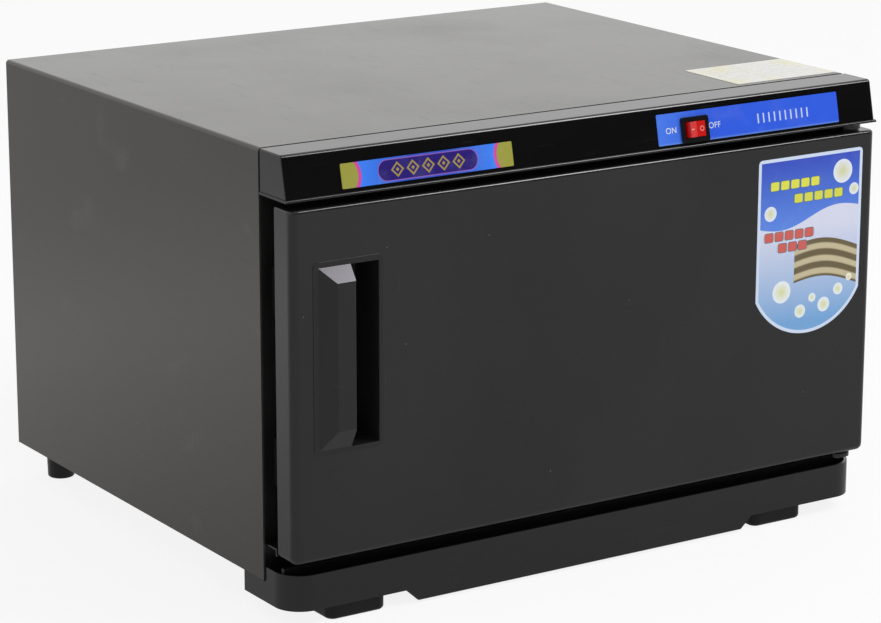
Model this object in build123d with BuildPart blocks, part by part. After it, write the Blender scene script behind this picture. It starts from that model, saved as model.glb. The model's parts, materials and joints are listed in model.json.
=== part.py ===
from build123d import *
from math import atan2, cos, sin
import os

os.makedirs("parts", exist_ok=True)

# A counter-top steriliser cabinet. Millimetres, +Z up, front toward -Y, +X to the right from the front.
# The origin is below the middle of the cabinet, on the surface that its feet stand on.

# Shell
shell_w = 450.0
shell_d = 345.0
shell_h = 272.0
sheet = 1.2
shell_bend = 2.5
foot_h = 24.0
side_return = 10.0
rear_return = 12.0
rear_set_in = 3.2

# How far pieces stand out before the shell's front edge and behind its back edge
grip_face = 42.0
door_face = 34.0
door_back = 14.0
trough_face = 30.0
gland_out = 8.0

# The shell's front edge, back edge, bottom edge and top in the part's own frame
front = grip_face - (grip_face + shell_d + gland_out) / 2
back = front + shell_d
base = foot_h
top = base + shell_h
half_w = shell_w / 2

# Door: it stands a little to the right of the shell, and its upright edges are the roundest
door_x = (-222.6, 226.0)
door_z = (base + 17.5, base + 239.0)
door_mid_x = sum(door_x) / 2
door_w = door_x[1] - door_x[0]
door_mid_z = sum(door_z) / 2
door_h = door_z[1] - door_z[0]
door_skin = 1.2
door_side_r = 5.5
door_foot_r = 4.5
door_head_r = 2.0
pin_x = 212.0
pin_y = front - 22.0
pin_r = 3.0
running_gap = 0.05

# Handle: the grip stands on the door's face and the pocket lies to its right
grip_x = (-205.0, -182.0)
grip_z = (base + 88.0, base + 203.0)
ridge_x = (-195.4, -182.6)
ridge_z = (base + 101.5, base + 193.4)
pocket_x = (-182.0, -162.0)
pocket_z = (base + 88.4, base + 202.4)
pocket_floor_y = front - 7.0
handle_wall = 1.5
pocket_edge_r = 0.6
handle_lip = 0.4
handle_lip_r = 0.3
handle_margin = 3.2
handle_corner_r = 4.0
grip_edge_r = 0.8

# Chamber
chamber_w = 360.0
chamber_z = (base + 37.0, base + 222.0)
chamber_h = chamber_z[1] - chamber_z[0]
chamber_mid_z = sum(chamber_z) / 2
chamber_d = 238.0
liner_wall = 1.0
frame_y = front + 0.8
liner_y = frame_y + sheet
liner_back = liner_y + chamber_d
frame_lap = 1.0

# Gasket on the door
gasket_w = 394.0
gasket_z = (base + 25.5, base + 233.5)
gasket_band = 11.0
gasket_wall = 1.5
gasket_reach = frame_y - 0.3

# Racks: shelf heights of their rails, wire sizes and places
rack_levels = {"lower": base + 58.0, "upper": base + 140.0}
rail_shelf = 12.0
rail_y = (front + 16.0, front + 226.0)
rack_half_w = 172.0
rack_y = (front + 10.0, front + 218.0)
rack_rim_r = 2.0
rack_wire_r = 1.2
rack_wires = 17
rack_lift = 0.3
rack_corner_r = 14.0
rack_wire_margin = 12.0
rack_wire_sink = 0.4

# Top fascia: its top edge and its foot stand out by different amounts, so its face leans
fascia_w = 450.4
fascia_top_y = front - 27.0
fascia_foot_y = front - 33.0
fascia_z = base + 244.3
fascia_wall = 2.0
fascia_seam = 2.4
fascia_lip_h = 1.5
fascia_lip_half_w = door_x[1]
fascia_lip_out = 1.0
fascia_lip_r = 0.9
fascia_brow_r = 2.5
fascia_end_r = 1.0
rib_spots = (-150.0, 0.0, 150.0)
rib_t = 2.0
rib_foot = base + 256.0
lean = atan2(fascia_top_y - fascia_foot_y, top - fascia_z)
face_mid = (0, (fascia_top_y + fascia_foot_y) / 2, (top + fascia_z) / 2)
face_plane = Plane(origin=face_mid, x_dir=(1, 0, 0), z_dir=(0, -cos(lean), sin(lean)))

# Plates and switch, placed on the leaning face from its middle
plate_t = 0.5
plate_corner_r = 0.8
title_centre = (-124.5, -2.7)
title_size = (123.0, 15.2)
control_centre = (121.5, -1.0)
control_size = (147.0, 20.0)
switch_centre = (77.0, -3.0)
bezel_size = (21.5, 16.4)
bezel_corner_r = 1.5
bezel_t = 1.5
switch_body = (19.0, 13.0)
switch_cut = (switch_body[0] + 0.4, switch_body[1] + 0.4)
switch_depth = 12.0
rocker_well = (16.7, 10.6)
well_depth = 11.0
rocker_pivot_depth = 4.0
rocker_half_w = 7.3
rocker_half_h = 5.0
rocker_tilt = 10.0
trunnion_r = 1.0
blade_gap = 10.0
blade_size = (0.8, 4.8)
blade_length = 8.0

# Drip trough
trough_half_w = 224.0
trough_corner_r = 18.0
trough_wall = 2.0
trough_top = base + 9.0
trough_bottom = base - 14.0
skirt_bottom = base - 22.0
skirt_x = (-136.0, 129.0)
skirt_slant = 5.0
arm_end = front + 26.0
arm_top = base - 0.8
gutter_back = front - 16.0
gutter_top = base + 12.0

# Feet: the front pair reaches forward under the trough, and each foot is held by one screw
front_foot_w = 42.0
front_foot_y = (front - 28.0, front + 26.0)
toe_back_y = front - 14.5
toe_top = trough_bottom - 0.5
rear_foot_r = (9.3, 10.0)
foot_top = base + sheet
foot_spots = {
    "front": [(-174.0, front + 20.0), (157.0, front + 20.0)],
    "rear": [(-201.5, front + 327.0), (201.5, front + 327.0)],
}

# Cylinders stand on their place or hang from it
stand = (Align.CENTER, Align.CENTER, Align.MIN)
hang = (Align.CENTER, Align.CENTER, Align.MAX)


def facing(y):
    """Upright plane at depth y. Its x is X and its y is Z, and it extrudes toward the front."""
    return Plane.XZ.offset(-y)


def slab(xs, ys, zs, mode=Mode.ADD):
    """Square-edged block between two corners, given as (low, high) pairs."""
    with Locations(((xs[0] + xs[1]) / 2, (ys[0] + ys[1]) / 2, (zs[0] + zs[1]) / 2)):
        Box(xs[1] - xs[0], ys[1] - ys[0], zs[1] - zs[0], mode=mode)


# Screws: one clearance hole for all, and the places and sizes of the rear panel's screws
screw_hole_r = 2.2
rear_screw_spots = [(side * 217.0, base + z) for side in (-1, 1) for z in (20.0, 140.0, 258.0)]
rear_screw_spots += [(0.0, base + 8.0), (0.0, base + 264.0)]
rear_head_r = 3.6
rear_head_h = 1.6
rear_head_dome = 0.9
rear_shank_r = 1.7
rear_shank_l = 7.0

# Outer shell: one sheet bent over the top and both sides, with short returns at the bottom and back
with BuildPart() as outer_shell:
    with BuildSketch(facing(back)) as shell_section:
        with Locations((0, base + shell_h / 2)):
            Rectangle(shell_w, shell_h)
        fillet(shell_section.vertices().group_by(Axis.Y)[-1], shell_bend)
        with Locations((0, base + shell_h / 2)):
            RectangleRounded(shell_w - 2 * sheet, shell_h - 2 * sheet, shell_bend - sheet, mode=Mode.SUBTRACT)
        with Locations((0, base)):
            Rectangle(shell_w - 2 * (sheet + side_return), 4 * sheet, mode=Mode.SUBTRACT)
    extrude(amount=shell_d)
    rim_y = (back - rear_set_in - sheet, back - rear_set_in)
    for side in (-1, 1):
        rim_x = sorted((side * (half_w - sheet), side * (half_w - sheet - rear_return)))
        slab(rim_x, rim_y, (base + sheet, top - sheet))
    slab((sheet - half_w, half_w - sheet), rim_y, (top - sheet - rear_return, top - sheet))
    with BuildSketch(facing(back)):
        with Locations(rear_screw_spots):
            Circle(screw_hole_r)
    extrude(amount=rear_set_in + 2 * sheet, mode=Mode.SUBTRACT)
outer_shell.part.label = "outer_shell"
export_step(outer_shell.part, "parts/outer_shell.step")

# Base pan: stands on the shell's bottom returns, and turns up at the back to take the rear panel
base_half_w = half_w - sheet - shell_bend
base_z = (base + sheet, base + 2 * sheet)
base_front_y = front + 14.4
upturn_top = base + 14.0
foot_screw_spots = foot_spots["front"] + foot_spots["rear"]
with BuildPart() as base_pan:
    slab((-base_half_w, base_half_w), (base_front_y, back - rear_set_in - sheet - 0.2), base_z)
    upturn_y = (back - rear_set_in - sheet, back - rear_set_in)
    upturn_x = half_w - sheet - rear_return - 0.3
    slab((-upturn_x, upturn_x), upturn_y, (base_z[0], upturn_top))
    slab((-upturn_x, upturn_x), (upturn_y[0] - sheet, upturn_y[0]), base_z)
    with Locations([(x, y, base_z[0]) for x, y in foot_screw_spots]):
        Hole(screw_hole_r)
    with BuildSketch(facing(back)):
        with Locations(rear_screw_spots):
            Circle(screw_hole_r)
    extrude(amount=rear_set_in + 2 * sheet, mode=Mode.SUBTRACT)
base_pan.part.label = "base_pan"
export_step(base_pan.part, "parts/base_pan.step")

# Rear panel: flat sheet with two groups of vent slots and the hole of the cord gland
gland_x = 150.0
gland_z = base + 45.0
gland_thread_r = 8.0
panel_y = back - rear_set_in
panel_half_w = half_w - sheet - 0.4
panel_z = (base + sheet + 0.4, top - sheet - 0.4)
panel_mid_z = sum(panel_z) / 2
vent_x = 120.0
vent_z = base + 190.0
vent_slot = (90.0, 4.0)
vent_pitch = 10.0
vent_rows = 7
with BuildPart() as rear_panel:
    with BuildSketch(facing(panel_y + sheet)):
        with Locations((0, panel_mid_z)):
            RectangleRounded(2 * panel_half_w, panel_z[1] - panel_z[0], shell_bend)
        for side in (-1, 1):
            with Locations((side * vent_x, vent_z)):
                with GridLocations(0, vent_pitch, 1, vent_rows):
                    SlotOverall(*vent_slot, mode=Mode.SUBTRACT)
        with Locations((gland_x, gland_z)):
            Circle(gland_thread_r + 0.2, mode=Mode.SUBTRACT)
        with Locations(rear_screw_spots):
            Circle(screw_hole_r, mode=Mode.SUBTRACT)
    extrude(amount=sheet)
rear_panel.part.label = "rear_panel"
export_step(rear_panel.part, "parts/rear_panel.step")

# Rear screws: pan heads behind the panel
with BuildPart() as rear_screws:
    with BuildSketch(facing(panel_y + sheet)):
        with Locations(rear_screw_spots):
            Circle(rear_head_r)
    extrude(amount=-rear_head_h)
    head_edges = rear_screws.edges().filter_by(GeomType.CIRCLE).group_by(Axis.Y)[-1]
    fillet(head_edges, rear_head_dome)
    with BuildSketch(facing(panel_y + sheet)):
        with Locations(rear_screw_spots):
            Circle(rear_shank_r)
    extrude(amount=rear_shank_l)
rear_screws.part.label = "rear_screws"
export_step(rear_screws.part, "parts/rear_screws.step")

# Cord gland: flanged body with a bore for the supply cord, and its nut inside the panel
cord_hole_r = 3.6
gland_flange_r = 9.0
gland_flange_edge_r = 2.0
nut_r = 12.0
nut_t = 5.0
gland_length = 28.0
with BuildPart() as cord_gland:
    with BuildSketch(facing(back + gland_out)):
        with Locations((gland_x, gland_z)):
            Circle(gland_flange_r)
    extrude(amount=gland_out + rear_set_in - sheet)
    fillet(cord_gland.edges().filter_by(GeomType.CIRCLE).group_by(Axis.Y)[-1], gland_flange_edge_r)
    with BuildSketch(facing(back + gland_out - gland_length)):
        with Locations((gland_x, gland_z)):
            Circle(gland_thread_r)
    extrude(amount=gland_out - gland_length)
    with BuildSketch(facing(back + gland_out)):
        with Locations((gland_x, gland_z)):
            Circle(cord_hole_r)
    extrude(amount=gland_length, mode=Mode.SUBTRACT)
cord_gland.part.label = "cord_gland"
export_step(cord_gland.part, "parts/cord_gland.step")

with BuildPart() as gland_nut:
    with BuildSketch(facing(panel_y)):
        with Locations((gland_x, gland_z)):
            RegularPolygon(nut_r, 6)
            Circle(gland_thread_r, mode=Mode.SUBTRACT)
    extrude(amount=nut_t)
gland_nut.part.label = "gland_nut"
export_step(gland_nut.part, "parts/gland_nut.step")

# Front frame: sheet inside the shell's mouth, with the chamber's opening and a rest for the door's foot
frame_half_w = half_w - sheet - 0.2
frame_z = (base + sheet + 0.2, top - sheet - 0.2)
frame_rim = 12.0
rest_x = (-223.0, 190.0)
rest_z = (base + 19.0, base + 24.0)
rest_y = front - 13.0
wire_window_x = (55.0, 100.0)
wire_window_z = (base + 248.0, base + 264.0)
opening_corner_r = 6.0
with BuildPart() as front_frame:
    slab((-frame_half_w, frame_half_w), (frame_y, frame_y + frame_rim), frame_z)
    fillet(front_frame.edges().filter_by(Axis.Y), shell_bend)
    rim_half_w = frame_half_w - sheet
    rim_z = (frame_z[0] + sheet, frame_z[1] - sheet)
    slab((-rim_half_w, rim_half_w), (liner_y, liner_y + frame_rim), rim_z, mode=Mode.SUBTRACT)
    with BuildSketch(facing(liner_y)):
        with Locations((0, chamber_mid_z)):
            RectangleRounded(chamber_w - 2 * frame_lap, chamber_h - 2 * frame_lap, opening_corner_r)
    extrude(amount=sheet, mode=Mode.SUBTRACT)
    slab(wire_window_x, (frame_y, liner_y), wire_window_z, mode=Mode.SUBTRACT)
    slab(rest_x, (rest_y, frame_y), (rest_z[1] - sheet, rest_z[1]))
    slab(rest_x, (rest_y, rest_y + sheet), rest_z)
front_frame.part.label = "front_frame"
export_step(front_frame.part, "parts/front_frame.step")

# Chamber liner: bright box, open to the front, with a flange behind the frame
flange = 12.0
liner_corner_r = 7.0
flange_corner_r = 8.0
with BuildPart() as chamber_liner:
    with BuildSketch(facing(liner_back + liner_wall)):
        with Locations((0, chamber_mid_z)):
            outer_corner_r = liner_corner_r + liner_wall
            RectangleRounded(chamber_w + 2 * liner_wall, chamber_h + 2 * liner_wall, outer_corner_r)
    extrude(amount=chamber_d + liner_wall)
    with BuildSketch(facing(liner_y + liner_wall)):
        with Locations((0, chamber_mid_z)):
            RectangleRounded(chamber_w + 2 * flange, chamber_h + 2 * flange, flange_corner_r)
    extrude(amount=liner_wall)
    with BuildSketch(facing(liner_back)):
        with Locations((0, chamber_mid_z)):
            RectangleRounded(chamber_w, chamber_h, liner_corner_r)
    extrude(amount=chamber_d, mode=Mode.SUBTRACT)
chamber_liner.part.label = "chamber_liner"
export_step(chamber_liner.part, "parts/chamber_liner.step")

# Rack rails: an angle on each side wall at each level
rail_t = 1.0
rail_web = 10.0
with BuildPart() as rack_rails:
    for shelf_z in rack_levels.values():
        for side in (-1, 1):
            wall_x = side * chamber_w / 2
            shelf_x = sorted((wall_x, wall_x - side * rail_shelf))
            web_x = sorted((wall_x, wall_x - side * rail_t))
            slab(shelf_x, rail_y, (shelf_z - rail_t, shelf_z))
            slab(web_x, rail_y, (shelf_z - rail_web, shelf_z))
rack_rails.part.label = "rack_rails"
export_step(rack_rails.part, "parts/rack_rails.step")


def rack(shelf_z):
    """Wire rack that lies on the rails at one level: a rim, two cross bars and the wires on top."""
    rim_z = shelf_z + rack_lift + rack_rim_r
    mid_y = sum(rack_y) / 2
    span_x = 2 * rack_half_w
    span_y = rack_y[1] - rack_y[0]
    with BuildPart() as wire_rack:
        with BuildSketch(Plane.XY.offset(rim_z), mode=Mode.PRIVATE) as outline:
            with Locations((0, mid_y)):
                RectangleRounded(span_x, span_y, rack_corner_r)
        rim = outline.sketch.face().outer_wire()
        with BuildSketch(Plane(origin=rim @ 0, z_dir=rim % 0)):
            Circle(rack_rim_r)
        sweep(path=rim)
        wire_z = rim_z + rack_rim_r - rack_wire_sink
        wire_pitch = (span_x - 2 * rack_wire_margin) / (rack_wires - 1)
        with Locations((0, mid_y, wire_z)):
            with GridLocations(wire_pitch, 0, rack_wires, 1):
                Cylinder(rack_wire_r, span_y, rotation=(90, 0, 0))
        with Locations((0, mid_y, rim_z)):
            with GridLocations(0, span_y / 3, 1, 2):
                Cylinder(rack_rim_r - 0.3, span_x, rotation=(0, 90, 0))
    return wire_rack


lower_rack = rack(rack_levels["lower"])
lower_rack.part.label = "lower_rack"
export_step(lower_rack.part, "parts/lower_rack.step")
upper_rack = rack(rack_levels["upper"])
upper_rack.part.label = "upper_rack"
export_step(upper_rack.part, "parts/upper_rack.step")

# Ultraviolet lamp across the back of the chamber, near its roof
lamp_y = front + 222.0
lamp_z = base + 204.0
lamp_r = 7.75
lamp_half = 106.0
cap_length = 8.0
lamp_pin_r = 1.0
lamp_pin_gap = 5.0
lamp_pin_length = 6.0
tube_wall = 0.8
holder_x = (lamp_half + cap_length + 0.2, lamp_half + cap_length + 12.2)
holder_y = (lamp_y - 9.0, liner_back)
holder_z = (lamp_z - 12.0, lamp_z + 12.0)
holder_slot_depth = 8.0
holder_edge_r = 4.0
lamp_axis = Plane(origin=(0, lamp_y, lamp_z), x_dir=(0, 1, 0), z_dir=(1, 0, 0))
with BuildPart() as lamp_tube:
    with BuildSketch(lamp_axis):
        Circle(lamp_r)
        Circle(lamp_r - tube_wall, mode=Mode.SUBTRACT)
    extrude(amount=lamp_half, both=True)
lamp_tube.part.label = "lamp_tube"
export_step(lamp_tube.part, "parts/lamp_tube.step")

with BuildPart() as lamp_caps:
    for side in (-1, 1):
        with BuildSketch(lamp_axis.offset(side * lamp_half)):
            Circle(lamp_r)
        extrude(amount=side * cap_length)
        with BuildSketch(lamp_axis.offset(side * (lamp_half + cap_length))):
            with GridLocations(0, lamp_pin_gap, 1, 2):
                Circle(lamp_pin_r)
        extrude(amount=side * lamp_pin_length)
lamp_caps.part.label = "lamp_caps"
export_step(lamp_caps.part, "parts/lamp_caps.step")

with BuildPart() as lamp_holders:
    for side in (-1, 1):
        holder_span = sorted((side * holder_x[0], side * holder_x[1]))
        slab(holder_span, holder_y, holder_z)
        with BuildSketch(lamp_axis.offset(side * holder_x[0])):
            with GridLocations(0, lamp_pin_gap, 1, 2):
                Circle(lamp_pin_r + 0.2)
        extrude(amount=side * holder_slot_depth, mode=Mode.SUBTRACT)
    fillet(lamp_holders.edges().filter_by(Axis.X).group_by(Axis.Y)[0], holder_edge_r)
lamp_holders.part.label = "lamp_holders"
export_step(lamp_holders.part, "parts/lamp_holders.step")

# Lamp guard: angle of thin sheet with slots, in front of and below the lamp
guard_y = front + 208.0
guard_z = base + 188.0
guard_half_w = 130.0
guard_t = 0.8
guard_slot = (24.0, 5.0)
guard_slot_pitch = 14.0
guard_slots = 18
with BuildPart() as lamp_guard:
    slab((-guard_half_w, guard_half_w), (guard_y, guard_y + guard_t), (guard_z, chamber_z[1]))
    slab((-guard_half_w, guard_half_w), (guard_y, liner_back), (guard_z, guard_z + guard_t))
    with BuildSketch(facing(guard_y + guard_t)):
        with Locations((0, guard_z + 17.0)):
            with GridLocations(guard_slot_pitch, 0, guard_slots, 1):
                SlotOverall(*guard_slot, rotation=90)
    extrude(amount=guard_t, mode=Mode.SUBTRACT)
    with BuildSketch(Plane.XY.offset(guard_z)):
        with Locations((0, guard_y + 16.0)):
            with GridLocations(guard_slot_pitch, 0, guard_slots, 1):
                SlotOverall(*guard_slot, rotation=90)
    extrude(amount=guard_t, mode=Mode.SUBTRACT)
lamp_guard.part.label = "lamp_guard"
export_step(lamp_guard.part, "parts/lamp_guard.step")

# Heater under the chamber's floor: spreader plate, two bars, thermostat and thermal fuse
heater_z = chamber_z[0] - liner_wall
heater_y = front + 125.0
plate_z = (heater_z - 1.5, heater_z)
spreader_half = (120.0, 80.0)
bar_half_l = 70.0
bar_w = 22.0
bar_h = 7.0
bar_offsets = (-45.0, 45.0)
with BuildPart() as heater_plate:
    spreader_y = (heater_y - spreader_half[1], heater_y + spreader_half[1])
    slab((-spreader_half[0], spreader_half[0]), spreader_y, plate_z)
    fillet(heater_plate.edges().filter_by(Axis.Z), 8.0)
heater_plate.part.label = "heater_plate"
export_step(heater_plate.part, "parts/heater_plate.step")

with BuildPart() as heater_bars:
    for offset_y in bar_offsets:
        bar_y = (heater_y + offset_y - bar_w / 2, heater_y + offset_y + bar_w / 2)
        slab((-bar_half_l, bar_half_l), bar_y, (plate_z[0] - bar_h, plate_z[0]))
    fillet(heater_bars.edges().filter_by(Axis.Z), 2.0)
heater_bars.part.label = "heater_bars"
export_step(heater_bars.part, "parts/heater_bars.step")

thermostat_flange = (32.0, 12.0)
thermostat_r = 8.0
thermostat_h = 9.0
thermostat_blades = (-4.0, 4.0)
with BuildPart() as thermostat:
    with BuildSketch(Plane.XY.offset(plate_z[0])):
        with Locations((0, heater_y)):
            SlotOverall(*thermostat_flange)
    extrude(amount=-1.0)
    with BuildSketch(Plane.XY.offset(plate_z[0])):
        with Locations((0, heater_y)):
            Circle(thermostat_r)
    extrude(amount=-thermostat_h)
    for blade_x in thermostat_blades:
        blade_z = (plate_z[0] - thermostat_h - 3.5, plate_z[0] - thermostat_h)
        slab((blade_x - 0.4, blade_x + 0.4), (heater_y - 3.0, heater_y + 3.0), blade_z)
thermostat.part.label = "thermostat"
export_step(thermostat.part, "parts/thermostat.step")

fuse_x = 60.0
fuse_r = 2.5
fuse_l = 14.0
fuse_clip = (10.0, 8.0, 1.2)
with BuildPart() as thermal_fuse:
    with Locations((fuse_x, heater_y, plate_z[0] - fuse_r - 0.5)):
        Cylinder(fuse_r, fuse_l, rotation=(0, 90, 0))
    with Locations((fuse_x, heater_y, plate_z[0])):
        Box(*fuse_clip, align=hang)
thermal_fuse.part.label = "thermal_fuse"
export_step(thermal_fuse.part, "parts/thermal_fuse.step")

# Mains parts on the base pan, behind the chamber
floor_z = base + 2 * sheet
ballast_x = (-130.0, -62.0)
ballast_y = (front + 284.0, front + 314.0)
ballast_h = 26.0
ballast_foot = 10.0
starter_spot = (-20.0, front + 300.0)
with BuildPart() as ballast:
    slab(ballast_x, ballast_y, (floor_z, floor_z + ballast_h))
    fillet(ballast.edges().filter_by(Axis.X).group_by(Axis.Z)[-1], 3.0)
    slab((ballast_x[0] - ballast_foot, ballast_x[1] + ballast_foot), ballast_y, (floor_z, floor_z + 1.5))
ballast.part.label = "ballast"
export_step(ballast.part, "parts/ballast.step")

with BuildPart() as lamp_starter:
    with Locations((*starter_spot, floor_z)):
        Cylinder(13.0, 6.0, align=stand)
        Cylinder(10.0, 39.0, align=stand)
    fillet(lamp_starter.edges().filter_by(GeomType.CIRCLE).group_by(Axis.Z)[-1], 2.0)
lamp_starter.part.label = "lamp_starter"
export_step(lamp_starter.part, "parts/lamp_starter.step")

terminal_x = (55.0, 115.0)
terminal_y = (front + 288.0, front + 308.0)
terminal_top = floor_z + 16.0
terminal_hole = (2.5, 8.0)
with BuildPart() as terminal_block:
    slab(terminal_x, terminal_y, (floor_z, terminal_top))
    with Locations((sum(terminal_x) / 2, sum(terminal_y) / 2, terminal_top)):
        with GridLocations(12.0, 10.0, 5, 2):
            Hole(terminal_hole[0], depth=terminal_hole[1])
terminal_block.part.label = "terminal_block"
export_step(terminal_block.part, "parts/terminal_block.step")

# Insulation: blocks of wool round the chamber, clear of the wires
wool_x = chamber_w / 2 + liner_wall + 0.5
wool_outer = half_w - sheet - 2.0
wool_front = front + 17.0
wool_rear = liner_back + 24.0
wool_top = base + 252.0
with BuildPart() as insulation:
    slab((-wool_x, wool_x), (wool_front, liner_back), (chamber_z[1] + liner_wall + 0.5, wool_top))
    slab((-wool_x, wool_x), (wool_front, liner_back), (base + 7.0, base + 14.0))
    slab((-wool_x, wool_x), (liner_back + 1.5, wool_rear), (base + 30.0, base + 225.0))
    for side in (-1, 1):
        wool_side = sorted((side * (wool_x + 0.5), side * wool_outer))
        slab(wool_side, (wool_front, wool_rear), (base + 12.0, wool_top))
insulation.part.label = "insulation"
export_step(insulation.part, "parts/insulation.step")

# Internal wires: each run is round-cornered, and the runs to one place lie side by side
wire_r = 1.3
wire_bend = 6.0
riser_y = front + 303.0
loom_z = base + 261.0
loom_end_y = front + 6.0
wire_runs = [
    [
        (gland_x, back + gland_out - gland_length - 0.5, gland_z),
        (gland_x, front + 298.0, gland_z),
        (107.0, front + 298.0, gland_z),
        (107.0, front + 298.0, terminal_top),
    ],
    [
        (97.0, riser_y, terminal_top),
        (97.0, riser_y, loom_z),
        (97.0, loom_end_y, loom_z),
    ],
    [
        (61.0, riser_y, terminal_top),
        (61.0, riser_y, loom_z),
        (61.0, loom_end_y, loom_z),
    ],
    [
        (73.0, front + 293.0, terminal_top),
        (73.0, front + 293.0, base + 60.0),
        (20.0, front + 293.0, base + 60.0),
        (20.0, front + 272.0, base + 60.0),
        (20.0, front + 272.0, base + 18.0),
        (20.0, heater_y + bar_offsets[1], base + 18.0),
        (20.0, heater_y + bar_offsets[1], plate_z[0] - bar_h),
    ],
]
with BuildPart() as wires:
    for points in wire_runs:
        with BuildLine() as run:
            FilletPolyline(*points, radius=wire_bend)
        with BuildSketch(Plane(origin=run.line @ 0, z_dir=run.line % 0)):
            Circle(wire_r)
        sweep()
wires.part.label = "wires"
export_step(wires.part, "parts/wires.step")

# Top fascia: hollow moulding with a leaning face and a lip round its foot
fascia_half_w = fascia_w / 2
with BuildPart() as top_fascia:
    with BuildSketch(Plane.YZ):
        with BuildLine():
            Polyline(
                (front - fascia_seam, top),
                (fascia_top_y, top),
                (fascia_foot_y, fascia_z),
                (front - fascia_seam, fascia_z),
                close=True,
            )
        make_face()
    extrude(amount=fascia_half_w, both=True)
    fillet(top_fascia.edges().filter_by(Axis.X).group_by(Axis.Z)[-1].sort_by(Axis.Y)[0], fascia_brow_r)
    end_edges = top_fascia.faces().filter_by(Axis.X).edges()
    fillet(end_edges.filter_by(Axis.X, reverse=True).group_by(Axis.Z)[-1], fascia_end_r)
    lip_y = (fascia_foot_y - fascia_lip_out, front - fascia_seam)
    slab((-fascia_lip_half_w, fascia_lip_half_w), lip_y, (fascia_z, fascia_z + fascia_lip_h))
    lip_brow = top_fascia.edges().filter_by(Axis.X).group_by(Axis.Y)[0].sort_by(Axis.Z)[-1]
    fillet(lip_brow, fascia_lip_r)
    with BuildSketch(Plane.YZ):
        with BuildLine():
            Polyline(
                (front, top - fascia_wall),
                (fascia_top_y + fascia_wall, top - fascia_wall),
                (fascia_foot_y + fascia_wall, fascia_z + fascia_wall),
                (front, fascia_z + fascia_wall),
                close=True,
            )
        make_face()
    extrude(amount=fascia_half_w - fascia_wall, both=True, mode=Mode.SUBTRACT)
    for rib_x in rib_spots:
        slab((rib_x - rib_t / 2, rib_x + rib_t / 2), (fascia_top_y + 1.0, frame_y), (rib_foot, top - 1.5))
    with BuildSketch(face_plane.offset(1.0)):
        with Locations(switch_centre):
            Rectangle(*switch_cut)
    extrude(amount=-switch_depth - 0.9, mode=Mode.SUBTRACT)
top_fascia.part.label = "top_fascia"
export_step(top_fascia.part, "parts/top_fascia.step")

with BuildPart() as title_plate:
    with BuildSketch(face_plane):
        with Locations(title_centre):
            RectangleRounded(*title_size, plate_corner_r)
    extrude(amount=plate_t)
title_plate.part.label = "title_plate"
export_step(title_plate.part, "parts/title_plate.step")

with BuildPart() as control_plate:
    with BuildSketch(face_plane):
        with Locations(control_centre):
            RectangleRounded(*control_size, plate_corner_r)
        with Locations(switch_centre):
            Rectangle(*switch_cut, mode=Mode.SUBTRACT)
    extrude(amount=plate_t)
control_plate.part.label = "control_plate"
export_step(control_plate.part, "parts/control_plate.step")

# Rocker switch: body with a bezel on the control plate, a well for the rocker and two blades
switch_origin = face_plane.from_local_coords((*switch_centre, 0))
switch_plane = Plane(origin=switch_origin, x_dir=face_plane.x_dir, z_dir=face_plane.z_dir)
pivot = switch_plane.from_local_coords((0, 0, -rocker_pivot_depth))
rocker_axis = -face_plane.y_dir
rocker_plane = Plane(origin=pivot, x_dir=face_plane.x_dir, z_dir=rocker_axis)
rest_x_dir = face_plane.x_dir.rotate(Axis((0, 0, 0), tuple(rocker_axis)), -rocker_tilt)
rocker_rest = Plane(origin=pivot, x_dir=rest_x_dir, z_dir=rocker_axis)
with BuildPart() as switch_housing:
    with BuildSketch(switch_plane.offset(plate_t)):
        RectangleRounded(*bezel_size, bezel_corner_r)
    extrude(amount=bezel_t)
    with BuildSketch(switch_plane.offset(plate_t)):
        Rectangle(*switch_body)
    extrude(amount=-switch_depth)
    with BuildSketch(switch_plane.offset(plate_t + bezel_t)):
        Rectangle(*rocker_well)
    extrude(amount=-well_depth, mode=Mode.SUBTRACT)
    with BuildSketch(rocker_plane):
        Circle(trunnion_r + running_gap)
    extrude(amount=switch_body[1] / 2 + 0.5, both=True, mode=Mode.SUBTRACT)
switch_housing.part.label = "switch_housing"
export_step(switch_housing.part, "parts/switch_housing.step")

with BuildPart() as switch_blades:
    with BuildSketch(switch_plane.offset(plate_t - switch_depth)):
        with GridLocations(blade_gap, 0, 2, 1):
            Rectangle(*blade_size)
    extrude(amount=-blade_length)
switch_blades.part.label = "switch_blades"
export_step(switch_blades.part, "parts/switch_blades.step")

# The rocker rests with its right half pressed in, and tips the other way about its trunnions
with BuildPart() as switch_rocker:
    with BuildSketch(rocker_rest):
        with BuildLine():
            Polyline(
                (0, 5.8),
                (6.9, 7.0),
                (rocker_half_w, 5.2),
                (rocker_half_w, 0),
                (4.5, -2.5),
                (-4.5, -2.5),
                (-rocker_half_w, 0),
                (-rocker_half_w, 5.2),
                (-6.9, 7.0),
                close=True,
            )
        make_face()
    extrude(amount=rocker_half_h, both=True)
    with BuildSketch(rocker_plane):
        Circle(trunnion_r)
    extrude(amount=rocker_half_h + 1.2, both=True)
switch_rocker.part.label = "switch_rocker"
export_step(switch_rocker.part, "parts/switch_rocker.step")

# Paper label on the shell's top, at the front right
label_centre = (181.0, front + 34.0)
label_size = (82.0, 58.0)
label_t = 0.2
with BuildPart() as paper_label:
    with BuildSketch(Plane.XY.offset(top)):
        with Locations(label_centre):
            RectangleRounded(*label_size, 1.0)
    extrude(amount=label_t)
paper_label.part.label = "paper_label"
export_step(paper_label.part, "parts/paper_label.step")

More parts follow.
